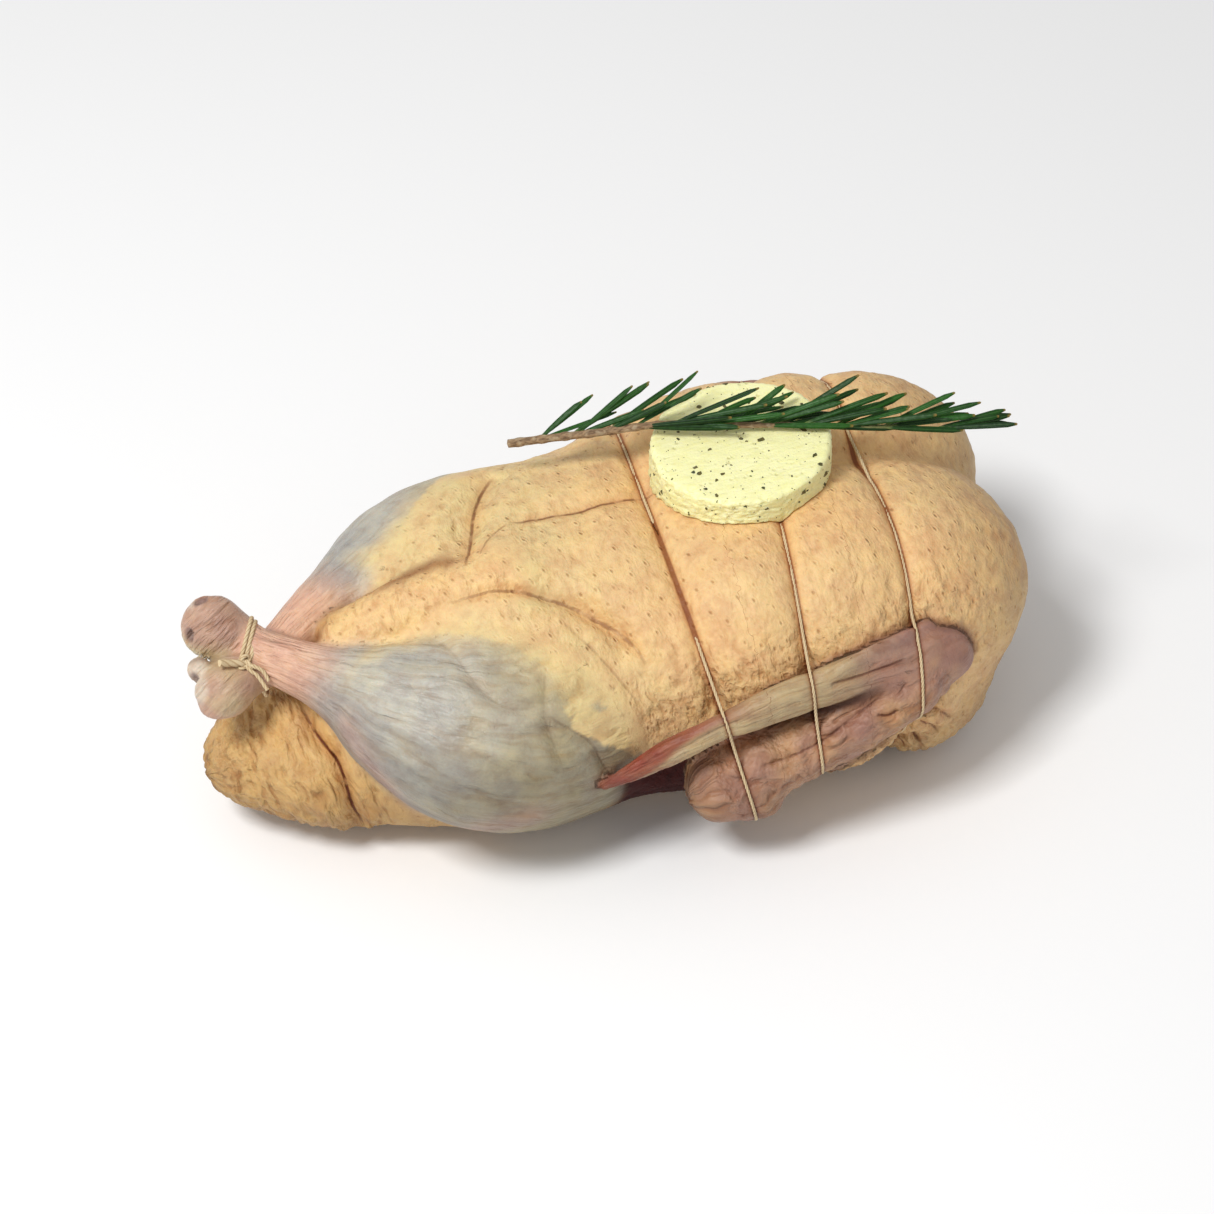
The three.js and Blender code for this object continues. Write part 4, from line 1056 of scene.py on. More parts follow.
def finish_with(shader, colour, roughness, height):
    """Plug colour, roughness and a height in millimetres into a Principled shader."""
    bump = add("ShaderNodeBump", {"Height": height, "Distance": 0.001, "Strength": 1.0}).outputs[0]
    for socket, value in (("Base Color", colour), ("Roughness", roughness), ("Normal", bump)):
        plug(shader.inputs[socket], value)


print("node helpers ready")

# %% [markdown]
# ## Pores, creases and grain as groups
#
# Three effects make skin of a plain colour. A pore is a dark dimple with a raised rim. A crease is a line of
# painted shade, a little sunken, that fades to both sides. Grain is a mesh of very fine wrinkles with goose bumps
# between them, with painted shade in its valleys and dips. Each one is a group that takes what the vertices
# remember and gives a mask and a height in millimetres.

# %% Skin groups
def noise_field(vector, size, detail=3.0, roughness=0.5, seed=0.0):
    """Noise in millimetres. The size is how large one lump is, on all axes or on each."""
    size = size if isinstance(size, tuple) else (size,) * 3
    moved = add("ShaderNodeMapping", {"Vector": vector, "Location": (seed, 2 * seed, 3 * seed),
        "Scale": tuple(1 / s for s in size)}).outputs[0]
    return add("ShaderNodeTexNoise", {"Vector": moved, "Scale": 1.0, "Detail": detail,
        "Roughness": roughness}).outputs["Fac"]


pores, given, result = new_group(
    "Skin pores", {"Offset": "Vector", "Distance": 9.0, "Strength": 1.0, "Where": "Vector"},
    {"Mask": "Float", "Height": "Float"})
axes = add("ShaderNodeSeparateXYZ", {"Vector": given["Offset"]}).outputs
slant = plus(axes[0], times(axes[1], 0.35))
across = maths("POWER", times(slant, 1.55), 2.0)
down = plus(maths("POWER", axes[1], 2.0), maths("POWER", axes[2], 2.0))
oval = maths("SQRT", plus(across, times(down, 0.55)))
close = fade(given["Distance"], 2.6, 1.6)
some = fade(noise_field(given["Where"], 7, 1.0), 0.36, 0.62, 0.3, 1.0)
amount = times(close, some, given["Strength"])
dimple = fade(oval, 0.75, 0.15)
rim = times(fade(oval, 0.5, 1.1), fade(oval, 2.1, 1.1))
plug(result["Mask"], times(dimple, amount))
lifted = minus(times(rim, 0.16), times(dimple, 0.35))
plug(result["Height"], times(lifted, amount))

lines, given, result = new_group(
    "Skin creases", {"Line": "Vector", "Where": "Vector", "Width": 0.45},
    {"Mask": "Float", "Shade": "Float", "Height": "Float"})
parts = add("ShaderNodeSeparateXYZ", {"Vector": given["Line"]}).outputs
wobble = times(minus(noise_field(given["Where"], 4, 2.0), 0.5), 0.4)
near = maths("ABSOLUTE", plus(parts[0], wobble))
true = fade(parts[1], 2.4, 1.4)
core = fade(maths("DIVIDE", near, given["Width"]), 1.8, 0.2)
broken = fade(noise_field(given["Where"], 5, 2.0, seed=4.0), 0.32, 0.5, 0.35, 1.0)
# The mask is a thin line of painted shade along a crease, and Shade is a broader painted shade round it.
mask = times(core, true, parts[2], broken)
plug(result["Mask"], mask)
plug(result["Shade"], times(fade(parts[1], 4.0, 0.3), parts[2]))
plug(result["Height"], times(mask, -0.5))

texture, given, result = new_group(
    "Skin grain", {"Flow": "Vector", "Where": "Vector", "Wrinkle": 0.3, "Calm": 1.0},
    {"Height": "Float", "Valley": "Float", "Bump": "Float"})
drift = add("ShaderNodeTexNoise", {"Vector": given["Where"], "Scale": 0.09, "Detail": 1.0}).outputs["Color"]
drift = add("ShaderNodeVectorMath", {0: drift, "Scale": 5.0}, operation="SCALE").outputs[0]
bent = add("ShaderNodeVectorMath", {0: given["Flow"], 1: drift}, operation="ADD").outputs[0]
strength = times(given["Wrinkle"], given["Calm"])
ridges = noise_field(bent, (5.0, 20, 30), 1.0, 0.5)
some = fade(noise_field(given["Where"], 12, 1.0, seed=9.0), 0.36, 0.6)
column = times(fade(maths("ABSOLUTE", minus(ridges, 0.5)), 0.09, 0.0), some)
cushion = noise_field(bent, (2.6, 3.8, 6.0), 2.0, 0.5, seed=3.0)
patch = noise_field(bent, (6.5, 8.5, 12), 1.0, 0.5, seed=6.0)
valley = times(column, fade(cushion, 0.6, 0.4, 0.2, 1.0), strength)
tiny = noise_field(given["Where"], 1.1, 4.0, 0.6)
uneven = times(plus(strength, 0.3), given["Calm"])
height = maths("MULTIPLY_ADD", cushion, 1.5, maths("MULTIPLY_ADD", patch, 2.4, -1.95))
height = minus(times(height, uneven), times(valley, 0.45))
height = plus(height, times(tiny, 0.22))
plug(result["Height"], height)
# The material uses Valley and Bump as masks of painted shade: in the wrinkle valleys and in the dips between
# cushions.
plug(result["Valley"], valley)
plug(result["Bump"], fade(cushion, 0.52, 0.34))
print("groups:", [g.name for g in bpy.data.node_groups])

# %% [markdown]
# ## The skin's material
#
# The painted regions give the colour. Over them come a faint mottle, the dark of pores, painted shade in creases,
# wrinkle valleys and seams, and brown painted shade beside the twine where it draws the skin in. A little light
# passes into the fat and out again, which is subsurface scattering, and the skin is moist, so it has a soft gloss
# that is sharper on the bare legs than on the breast.

# %% Skin material
skin, shader, mm = new_material("duck skin")
read = lambda name: add("ShaderNodeAttribute", attribute_name=name, attribute_type="GEOMETRY").outputs
tint_in, feel = read("tint")["Color"], add("ShaderNodeSeparateColor", {"Color": read("feel")["Color"]}).outputs
pore_out = place_group(pores, {"Offset": read("pore")["Vector"], "Distance": read("pore_distance")["Fac"],
    "Strength": feel[1], "Where": mm})
line_out = place_group(lines, {"Line": read("crease")["Vector"], "Where": mm})
grain_out = place_group(texture, {"Flow": read("grain")["Vector"], "Where": mm, "Wrinkle": feel[0],
    "Calm": read("calm")["Fac"]})
to_string = maths("ABSOLUTE", read("string")["Fac"])
mottle = noise_field(mm, 9, 5.0, 0.65)
veins = noise_field(mm, 3.2, 4.0, 0.6, seed=7.0)
streaks = noise_field(read("grain")["Vector"], (5, 12, 30), 3.0, 0.6, seed=2.0)
on_meat = times(fade(feel[2], 0.5, 0.72), 0.3)
dip_shade = times(grain_out["Bump"], fade(feel[0], 0.0, 0.7, 0.4, 1.0), read("calm")["Fac"], 0.3)
colour = paint(
    tint_in,
    (fade(mottle, 0.35, 0.7, 0.0, 0.28), (250, 226, 180), "SOFT_LIGHT"),
    (fade(mottle, 0.55, 0.3, 0.0, 0.22), (206, 150, 110), "MULTIPLY"),
    (fade(veins, 0.3, 0.62, 0.1, 0.0), (180, 120, 90), "MULTIPLY"),
    (times(fade(streaks, 0.52, 0.3), on_meat), (186, 182, 186), "MULTIPLY"),
    (times(fade(streaks, 0.55, 0.75), on_meat), (250, 248, 240), "SOFT_LIGHT"),
    # Painted shade in the grain's wrinkle valleys and in the dips between its cushions.
    (times(grain_out["Valley"], fade(feel[2], 0.5, 0.72, 0.5, 0.15)), (196, 152, 112), "MULTIPLY"),
    (dip_shade, (216, 178, 132), "MULTIPLY"),
    # Painted shade beside each loop of twine, where it draws the skin in.
    (fade(to_string, 2.4, 0.5, 0.0, 0.6), (206, 152, 104), "MULTIPLY"),
    (fade(to_string, 1.3, 0.6, 0.0, 0.8), (158, 112, 72), "MULTIPLY"),
    # Painted shade along the creases: broad here, and as a thin dark line last.
    (times(line_out["Shade"], 0.35), (206, 142, 96), "MULTIPLY"),
    # Painted shade at the seams between parts.
    (times(read("feel")["Alpha"], 0.75), (120, 66, 44), "MULTIPLY"),
    (times(pore_out["Mask"], 0.6), (186, 130, 66), "MULTIPLY"),
    (line_out["Mask"], (132, 74, 48), "MULTIPLY"))
rough = fade(plus(feel[2], times(veins, 0.4)), 0.2, 1.3, 0.58, 0.34)
height = plus(pore_out["Height"], line_out["Height"], grain_out["Height"])
brightness = add("ShaderNodeRGBToBW", {"Color": tint_in}).outputs[0]
rough = maths("MAXIMUM", rough, fade(brightness, 0.12, 0.03, 0.3, 0.95))
finish_with(shader, colour, rough, height)
shader.inputs["Subsurface Weight"].default_value = 0.12
shader.inputs["Subsurface Radius"].default_value = (1.0, 0.45, 0.25)
shader.inputs["Subsurface Scale"].default_value = 0.003
shader.inputs["Specular IOR Level"].default_value = 0.32
bird.data.materials.clear()
bird.data.materials.append(skin)
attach(bird, "root")
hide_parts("bird")
print("skin material:", len(tree.nodes), "nodes")

# %% [markdown]
# ## Twisted twine
#
# Butcher's twine is three thin strands twisted together. It could be a round tube with a striped picture on it, but
# its outline would be too smooth. Here Geometry Nodes sweep a three-lobed section along a path and turn it as it
# goes, so the strands are real. The path comes first: twine pulled tight round the bird in a plane takes the
# outline that a stretched rubber band would, and then sinks a little where the flesh gives.

# %% Paths of twine
STRING_RADIUS = 0.56
edges = np.empty(len(bird.data.edges) * 2, np.int32)
bird.data.edges.foreach_get("vertices", edges)
edges = edges.reshape(-1, 2)


def cut_by_plane(centre, normal, keep):
    """Points where a plane crosses the edges of the skin."""
    d = (skin_mm - centre) @ normal
    a, b = d[edges[:, 0]], d[edges[:, 1]]
    crossed = edges[(a < 0) != (b < 0)]
    a, b = d[crossed[:, 0]], d[crossed[:, 1]]
    found = skin_mm[crossed[:, 0]] + (skin_mm[crossed[:, 1]] - skin_mm[crossed[:, 0]]) * (a / (a - b))[:, None]
    return found[keep(found)]


def hull(flat):
    """The outline of a rubber band round flat points, anticlockwise."""
    order = sorted(map(tuple, flat))

    def half(chain_of):
        chain = []
        for p in chain_of:
            while len(chain) > 1:
                a, b = chain[-2], chain[-1]
                if (b[0] - a[0]) * (p[1] - a[1]) - (b[1] - a[1]) * (p[0] - a[0]) > 0:
                    break
                chain.pop()
            chain.append(p)
        return chain[:-1]

    return np.array(half(order) + half(order[::-1]))


def evenly(line, step):
    """A closed line as points one step apart."""
    closed = np.vstack([line, line[:1]])
    passed = np.r_[0, np.cumsum(np.linalg.norm(np.diff(closed, axis=0), axis=1))]
    wanted = np.linspace(0, passed[-1], int(passed[-1] / step), endpoint=False)
    return np.stack([np.interp(wanted, passed, closed[:, i]) for i in range(closed.shape[1])], 1)


def smoothed(values, width):
    """A running mean round a closed line."""
    kernel = np.hanning(width + 2)[1:-1]
    kernel /= kernel.sum()
    wrapped = np.concatenate([values[-width:], values, values[:width]])
    return np.convolve(wrapped, kernel, "same")[width:-width]


def tight_path(centre, normal, lift, give, keep=lambda p: np.ones(len(p), bool)):
    """A closed path pulled tight round the bird. It sinks into hollows by up to give, mm."""
    centre, normal = np.array(centre, float), unit(normal)
    e1 = unit(np.array([0, 1.0, 0]) - normal[1] * normal)
    e2 = np.cross(normal, e1)
    found = cut_by_plane(centre, normal, keep) - centre
    flat = evenly(hull(np.stack([found @ e1, found @ e2], 1)), 1.2)
    along = np.roll(flat, -1, 0) - np.roll(flat, 1, 0)
    out = unit(np.stack([along[:, 1], -along[:, 0]], 1))
    section = search_tree(np.column_stack([found @ e1, found @ e2, 0 * found[:, 0]]))
    gap = np.array([section.find((*q, 0))[2] for q in flat])
    sunk = smoothed(np.minimum(gap, give), 5) - lift(centre + flat[:, :1] * e1 + flat[:, 1:] * e2)
    flat = flat - out * sunk[:, None]
    flat = np.stack([smoothed(flat[:, 0], 5), smoothed(flat[:, 1], 5)], 1)
    return centre + flat[:, :1] * e1 + flat[:, 1:] * e2


def proud(q):
    """How far a loop stands out of the skin, mm. It sinks into the soft flesh beside the ridge of the breast."""
    x, y, z = q.T
    side = np.abs(y)
    buried = ramp(30, 25, x) * ramp(2, 9, -y) * ramp(85, 92, z)
    return 0.25 - 0.32 * ramp(4, 12, side) * ramp(60, 50, side) * ramp(70, 80, z) - 0.85 * buried


loop_paths = []
for loop in LOOPS:
    path = tight_path((loop["x"], 0, LOOP_HEIGHT), (1, -loop["lean_y"], -loop["lean_z"]), proud, 2.5)
    path[:, 2] = np.maximum(path[:, 2], STRING_RADIUS + 0.1)
    loop_paths.append(path)
print("loops of twine, mm long:",
      [round(float(np.linalg.norm(np.diff(p, axis=0), axis=1).sum())) for p in loop_paths])

# %% Helpers for Geometry Nodes
def new_tree(name, inputs):
    """Open a new geometry tree with named inputs and one geometry output."""
    return new_group(name, inputs, {"Geometry": "Geometry"}, "GeometryNodeTree")


def run_tree(source, tree, name, **values):
    """Give an object a geometry tree, set its inputs and bake the result."""
    modifier = source.modifiers.new(name, "NODES")
    modifier.node_group = tree
    for item in tree.interface.items_tree:
        key = item.name.lower().replace(" ", "_")
        if item.in_out == "INPUT" and key in values:
            modifier[item.identifier] = values[key]
    return baked(source, name)


def keep_attribute(geometry, name, value):
    return add("GeometryNodeStoreNamedAttribute", {"Geometry": geometry, "Name": name, "Value": value},
               data_type="FLOAT", domain="POINT").outputs[0]


twine_tree, given, result = new_tree("Twisted twine",
    {"Geometry": "Geometry", "Radius": "Float", "Turns per metre": "Float", "Step": "Float",
    "Material": "Material"})
even_curve = add("GeometryNodeResampleCurve", {"Curve": given["Geometry"], "Length": given["Step"]},
                 mode="LENGTH").outputs[0]
parameter = add("GeometryNodeSplineParameter").outputs
length = add("GeometryNodeSplineLength").outputs[0]
turns = maths("ROUND", times(length, given["Turns per metre"]))
angle = times(times(turns, parameter["Factor"]), 2 * math.pi)
even_curve = keep_attribute(even_curve, "twine_along", parameter["Length"])
tilted = add("GeometryNodeSetCurveTilt", {"Curve": even_curve, "Tilt": angle}).outputs[0]
circle = add("GeometryNodeCurvePrimitiveCircle", {"Resolution": 12, "Radius": given["Radius"]},
    mode="RADIUS").outputs[0]
around = times(add("GeometryNodeSplineParameter").outputs["Factor"], 2 * math.pi)
bulge = maths("COSINE", times(around, 3.0))
circle = keep_attribute(circle, "twine_strand", bulge)
place = add("GeometryNodeInputPosition").outputs[0]
shift = add("ShaderNodeVectorMath", {0: place, "Scale": times(bulge, 0.11)}, operation="SCALE").outputs[0]
section = add("GeometryNodeSetPosition", {"Geometry": circle, "Offset": shift}).outputs[0]
swept = add("GeometryNodeCurveToMesh", {"Curve": tilted, "Profile Curve": section,
    "Fill Caps": True}).outputs[0]
swept = add("GeometryNodeRealizeInstances", {"Geometry": swept}).outputs[0]
swept = add("GeometryNodeSetMaterial", {"Geometry": swept, "Material": given["Material"]}).outputs[0]
plug(result["Geometry"], swept)
print("tree:", twine_tree.name, len(twine_tree.nodes), "nodes")

# %% Twine material
twine, shader, mm = new_material("cotton twine")
strand = add("ShaderNodeAttribute", attribute_name="twine_strand").outputs["Fac"]
fibres = noise_field(mm, 0.35, 3.0)
patches = noise_field(mm, 7, 2.0)
colour = blend(patches, linear(212, 188, 146), linear(234, 214, 176))
colour = paint(
    colour,
    # Painted shade in the grooves between the strands.
    (fade(strand, 0.0, -1.0, 0.0, 0.6), (176, 142, 100), "MULTIPLY"),
    (fade(fibres, 0.45, 0.65, 0.0, 0.25), (190, 164, 124), "MULTIPLY"))
finish_with(shader, colour, 0.85, times(fibres, 0.12))
print("twine material:", len(tree.nodes), "nodes")


# %% Sweep the loops
def curves(name, paths):
    """Paths of (points in mm, closed) as one curve object of straight pieces."""
    data = bpy.data.curves.new(name, "CURVE")
    data.dimensions = "3D"
    for path, closed in paths:
        spline = data.splines.new("POLY")
        spline.points.add(len(path) - 1)
        for point, at in zip(spline.points, (np.asarray(path) + PLACE) / 1000):
            point.co = (*at, 1)
        spline.use_cyclic_u = closed
    return new_object(name, data)


def swept_twine(name, paths, radius, turns_per_metre):
    piece = run_tree(curves(name + "_path", paths), twine_tree, name, radius=radius / 1000,
                     turns_per_metre=turns_per_metre, step=0.0005, material=twine)
    smooth_faces(piece.data)
    return piece


TWINE_TURNS = 180.0
twine_pieces = []
for i, path in enumerate(loop_paths, 1):
    piece = swept_twine(f"body_twine_{i}", [(path, True)], STRING_RADIUS, TWINE_TURNS)
    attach(piece, "root")
    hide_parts(f"twine_loop_{i}")
    twine_pieces.append(piece)
    print(piece.name, len(piece.data.polygons), "faces")

# %% [markdown]
# ## The tie round the crossed legs
#
# Three turns of the same twine hold the hocks together: two go round the near one, and one between them holds the
# far one too. They end in a small hard knot, a trefoil, which is the simplest real knot. Three cut ends leave it:
# a frayed one towards the feet and two that lie against the shank.

# %% Tie the legs
TIE = dict(at=(-138, 1, 74), axis=(-0.89, 0.4, 0.22), reach=24, above=62, radius=0.72, apart=1.6)
UNDER_LEG = [(-135.5, -10, 66), (-134, -7.2, 61), (-132.5, 0, 58.8), (-132, 8, 61.5), (-131.5, 11, 69),
             (-132.5, 9, 78), (-134.5, 5, 84.5)]
KNOT_SIZE = 0.95
tie_axis, tie_centre = unit(TIE["axis"]), np.array(TIE["at"], float)
upper_leg = lambda p: ((np.linalg.norm(p - tie_centre, axis=1) < TIE["reach"]) & (p[:, 2] > TIE["above"])
                       & (limb(NEAR_LEG, p) < 1.2))
tie_lift = lambda q: 0.55 + 0 * q[:, 0]
tie_turns = [tight_path(tie_centre, tie_axis, tie_lift, 0.5, upper_leg)]
KNOT_VIEW = (0.1, -0.85, -0.5)
at_knot = (tie_turns[0] @ KNOT_VIEW).argmax()
lowest = tie_turns[0][at_knot]
away = lowest - tie_centre
away = unit(away - (away @ tie_axis) * tie_axis)
down = unit(np.array([0, 0, -1.0]) + away[2] * away)
knot_at = lowest + away * 2.0
ring = np.roll(tie_turns[0], -at_knot, 0)
if ring[len(ring) // 5] @ (0, 0, 1) < ring[0] @ (0, 0, 1):
    ring = np.roll(ring[::-1], 1, 0)
over_top = ring[:int((ring[:, 2] > ring[:, 2].max() - 0.6).argmax())][::4] - tie_axis * TIE["apart"]
tie_turns.append(smooth_line(np.vstack([over_top, UNDER_LEG[::-1], over_top[:1]]), 8)[:-1])
tie_turns.append(tight_path(tie_centre + tie_axis * TIE["apart"], tie_axis, tie_lift, 0.5, upper_leg))
t = np.linspace(0, 2 * np.pi, 60, endpoint=False)
trefoil = KNOT_SIZE * np.stack(
    [np.sin(t) + 2 * np.sin(2 * t), np.cos(t) - 2 * np.cos(2 * t), -1.1 * np.sin(3 * t)], 1)
knot = knot_at + trefoil[:, :1] * tie_axis + trefoil[:, 1:2] * np.cross(away, tie_axis) + trefoil[:, 2:] * away


def cut_end(*bends):
    """A path from the knot through bends, each given as mm along the legs, outwards and down."""
    return smooth_line([knot_at + a * tie_axis + o * away + d * down for a, o, d in ((0, 0, 0), *bends)], 8)


tie_piece = swept_twine("leg_twine", [*((turn, True) for turn in tie_turns), (knot, True),
    (cut_end((-3, 1, 0), (-6.5, 1.0, 1), (-8.6, 1.2, 4)), False),
    (cut_end((-2, 0.6, 2), (-4.5, 0.8, 3.2), (-8.0, 1.2, 7.5)), False)], TIE["radius"], 150.0)
frayed_line = cut_end((2, 1.5, 0), (4.5, 3.0, 0.3), (8.4, 5.6, 0.5))
frayed = swept_twine("frayed_end", [(frayed_line, False)], 1.25, 90.0)
for piece in (tie_piece, frayed):
    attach(piece, "root")
    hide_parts("leg_tie")
print("tie:", len(tie_piece.data.polygons), "faces, knot at", knot_at.round(1))

# %% [markdown]
# ## Herb butter
#
# A slice cut from a roll of cold butter: nearly round, flat on top, with a soft edge and a rim that has crumbled
# in places. It is turned like a pot, from a profile and an angle, and then pushed about by noise. Its underside
# takes the shape of what it lies on, skin and twine both, so no gap shows from any side.

# %% Turn the butter
BUTTER = dict(at=(48.0, 7.5), radius=32.5, thick=15.0, tip=4.0, rim=2.0, segments=260)
butter_box = np.array([list(v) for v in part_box("herb_butter")]) * 1000
slope = math.tan(math.radians(BUTTER["tip"]))
butter_top = butter_box[1, 2] - slope * BUTTER["radius"] - 0.5


def height_tree(pieces):
    vertices, faces = [], []
    for piece in pieces:
        start = len(vertices)
        vertices += [v.co.copy() for v in piece.data.vertices]
        faces += [[start + i for i in f.vertices] for f in piece.data.polygons]
    return BVHTree.FromPolygons(vertices, faces)


bed = height_tree([bird, *twine_pieces])


def bed_height(x, y):
    """Height in mm of what lies under a point of the bird's axes."""
    hit = bed.ray_cast(Vector(((x + PLACE[0]) / 1000, (y + PLACE[1]) / 1000, 0.3)), Vector((0, 0, -1)))[0]
    return hit.z * 1000 if hit else 0.0


def ring_faces(rings, n):
    """Faces between rings of n points, closed by a fan at each end round the two points that follow the rings."""
    faces = [(a + i, a + (i + 1) % n, a + n + (i + 1) % n, a + n + i)
             for a in range(0, (rings - 1) * n, n) for i in range(n)]
    last, centre = (rings - 1) * n, rings * n
    for i in range(n):
        j = (i + 1) % n
        faces += [(centre, j, i), (centre + 1, last + i, last + j)]
    return faces


def butter_mesh():
    radius, thick, rim = BUTTER["radius"], BUTTER["thick"], BUTTER["rim"]
    under = [(radius * s, 0.0, 0) for s in (0.12, 0.25, 0.38, 0.5, 0.62, 0.74, 0.84, 0.92, 0.975)]
    wall = [(radius - 0.15 * math.cos(h * 3), h, 1) for h in np.linspace(0.9, thick - rim, 17)]
    edge = [(radius - rim + rim * math.cos(a), thick - rim + rim * math.sin(a), 1)
            for a in np.linspace(0.15, math.pi / 2, 8)]
    top = [(radius * s, thick, 2) for s in np.linspace(0.91, 0.06, 24)]
    profile = np.array(under + wall + edge + top)
    angle = np.arange(BUTTER["segments"]) * 2 * np.pi / BUTTER["segments"]
    r, h, zone = (np.repeat(profile[:, i], len(angle)) for i in range(3))
    a = np.tile(angle, len(profile))
    r, h, zone, a = np.r_[r, 0, 0], np.r_[h, 0, thick], np.r_[zone, 0, 2], np.r_[a, 0, 0]
    ground = np.stack([r * np.cos(a), r * np.sin(a), h], 1)
    rough = ramp(-0.2, 0.9, -(0.85 * np.cos(a) + 0.5 * np.sin(a)))
    rim_near = np.exp(-((r - radius) / 3.0) ** 2)
    lump = noise(ground / 15, 31) * 0.8 + noise(ground / 4, 32) * 0.3
    crumb = noise(ground / 1.9, 33)
    out = rim_near * (lump + (0.25 + 0.5 * rough) * crumb + 0.3 * np.sin(3 * a + 1))
    flat = np.stack([BUTTER["at"][0] + (r + out) * np.cos(a), BUTTER["at"][1] + (r + out) * np.sin(a)], 1)
    base = np.array([bed_height(*q) for q in flat])
    top_z = butter_top + slope * (flat[:, 0] - BUTTER["at"][0])
    bumpy = 0.22 * noise(ground / 7, 34) + 0.10 * noise(ground / 2.2, 35)
    bumpy -= (0.35 + 0.6 * rough) * ramp(0.25, 0.6, noise(ground / 3.2, 36)) * ramp(radius - 5, radius - 1, r)
    foot = base + 0.25 + 0.35 * (1 - rim_near)
    z = foot + (top_z + bumpy - foot) * h / thick
    return np.column_stack([flat, z]), ring_faces(len(profile), len(angle))


butter_points, butter_faces = butter_mesh()
butter = make_object("herb_butter_slice", butter_points, butter_faces)
print("butter:", len(butter_faces), "faces, height", butter_points[:, 2].min().round(1), "to",
    butter_points[:, 2].max().round(1))

# %% Butter material
butter_skin, shader, mm = new_material("soft butter")
broad = noise_field(mm, 9, 3.0)
smear = noise_field(mm, (6, 1.6, 2), 4.0, 0.6, seed=3.0)
fine = noise_field(mm, 0.9, 4.0, 0.6)
pits = add("ShaderNodeTexVoronoi", {"Vector": mm, "Scale": 0.36}).outputs["Distance"]
pit = times(fade(pits, 0.34, 0.08), fade(broad, 0.45, 0.62))
colour = blend(broad, linear(250, 246, 176), linear(255, 252, 198))
colour = paint(
    colour,
    (fade(smear, 0.45, 0.7, 0.0, 0.35), (238, 230, 146)),
    (times(pit, 0.3), (214, 200, 110)))
height = plus(times(fine, 0.22), times(smear, 0.5))
height = minus(height, times(pit, 0.35))
finish_with(shader, colour, fade(smear, 0.3, 0.7, 0.5, 0.38), height)
shader.inputs["Subsurface Weight"].default_value = 0.2
shader.inputs["Subsurface Radius"].default_value = (1.0, 0.9, 0.4)
shader.inputs["Subsurface Scale"].default_value = 0.003
butter.data.materials.append(butter_skin)
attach(butter, "root")
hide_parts("herb_butter")
print("butter material:", len(tree.nodes), "nodes")

# %% [markdown]
# ## Flecks of herb
#
# Chopped herbs show in the butter as dark flakes, few and far apart, from a speck to the size of a lentil. Geometry
# Nodes throw points over the butter's top and side and set one of a few irregular flakes on each, turned at random
# and sunk to half its thickness.

# %% Scatter the flecks
herb, shader, mm = new_material("chopped herb")
shades = noise_field(mm, 3, 2.0)
colour = blend(fade(shades, 0.35, 0.65), linear(52, 58, 22), linear(104, 94, 48))
finish_with(shader, colour, 0.6, times(noise_field(mm, 0.3), 0.1))


def flake(name, seed):
    """A flat irregular chip, one unit across."""
    r = np.random.default_rng(seed)
    sides = 7
    a = np.arange(sides) * 2 * np.pi / sides + r.uniform(-0.3, 0.3, sides)
    reach = r.uniform(0.28, 0.55, sides) * np.where(np.abs(np.cos(a)) > 0.5, 1.1, 0.7)
    ring = np.stack([reach * np.cos(a), reach * np.sin(a), np.zeros(sides)], 1)
    rings = np.vstack([ring - (0, 0, 0.08), ring * (0.86, 0.86, 1) + (0, 0, 0.07)])
    faces = [(i, (i + 1) % sides, sides + (i + 1) % sides, sides + i) for i in range(sides)]
    faces += [tuple(range(sides))[::-1], tuple(range(sides, 2 * sides))]
    mesh = bpy.data.meshes.new(name)
    mesh.from_pydata(rings.tolist(), [], faces)
    return bpy.data.objects.new(name, mesh)


flakes = bpy.data.collections.new("flake shapes")
for i in range(5):
    flakes.objects.link(flake(f"flake_{i}", 40 + i))

fleck_tree, given, result = new_tree("Scattered flecks",
    {"Geometry": "Geometry", "Density": "Float", "Smallest": "Float", "Largest": "Float", "Seed": "Int",
    "Shapes": "Collection", "Material": "Material"})
normal_z = add("ShaderNodeSeparateXYZ", {0: add("GeometryNodeInputNormal").outputs[0]}).outputs[2]
seen = add("FunctionNodeCompare", {"A": normal_z, "B": -0.3}, operation="GREATER_THAN",
    data_type="FLOAT").outputs[0]
thrown = add("GeometryNodeDistributePointsOnFaces",
    {"Mesh": given["Geometry"], "Selection": seen, "Density": given["Density"], "Seed": given["Seed"]})
sizes = add("FunctionNodeRandomValue", {"Min": 0.0, "Max": 1.0, "Seed": given["Seed"]},
    data_type="FLOAT").outputs["Value"]
few_large = maths("POWER", sizes, 5.0)
size = add("ShaderNodeMapRange", {"Value": few_large, "To Min": given["Smallest"],
    "To Max": given["Largest"]}).outputs[0]
spin = add("FunctionNodeRandomValue", {"Min": (-0.35, -0.35, -3.14), "Max": (0.35, 0.35, 3.14),
    "Seed": given["Seed"]}, data_type="FLOAT_VECTOR").outputs["Value"]
turned = add("FunctionNodeRotateRotation", {"Rotation": thrown.outputs["Rotation"], "Rotate By": spin},
             rotation_space="LOCAL").outputs[0]
shapes = add("GeometryNodeCollectionInfo", {"Collection": given["Shapes"], "Separate Children": True,
    "Reset Children": True}).outputs[0]
set_down = add("GeometryNodeInstanceOnPoints", {"Points": thrown.outputs["Points"], "Instance": shapes,
    "Pick Instance": True, "Rotation": turned, "Scale": size}).outputs[0]
made_real = add("GeometryNodeRealizeInstances", {"Geometry": set_down}).outputs[0]
coloured = add("GeometryNodeSetMaterial", {"Geometry": made_real, "Material": given["Material"]}).outputs[0]
plug(result["Geometry"], coloured)

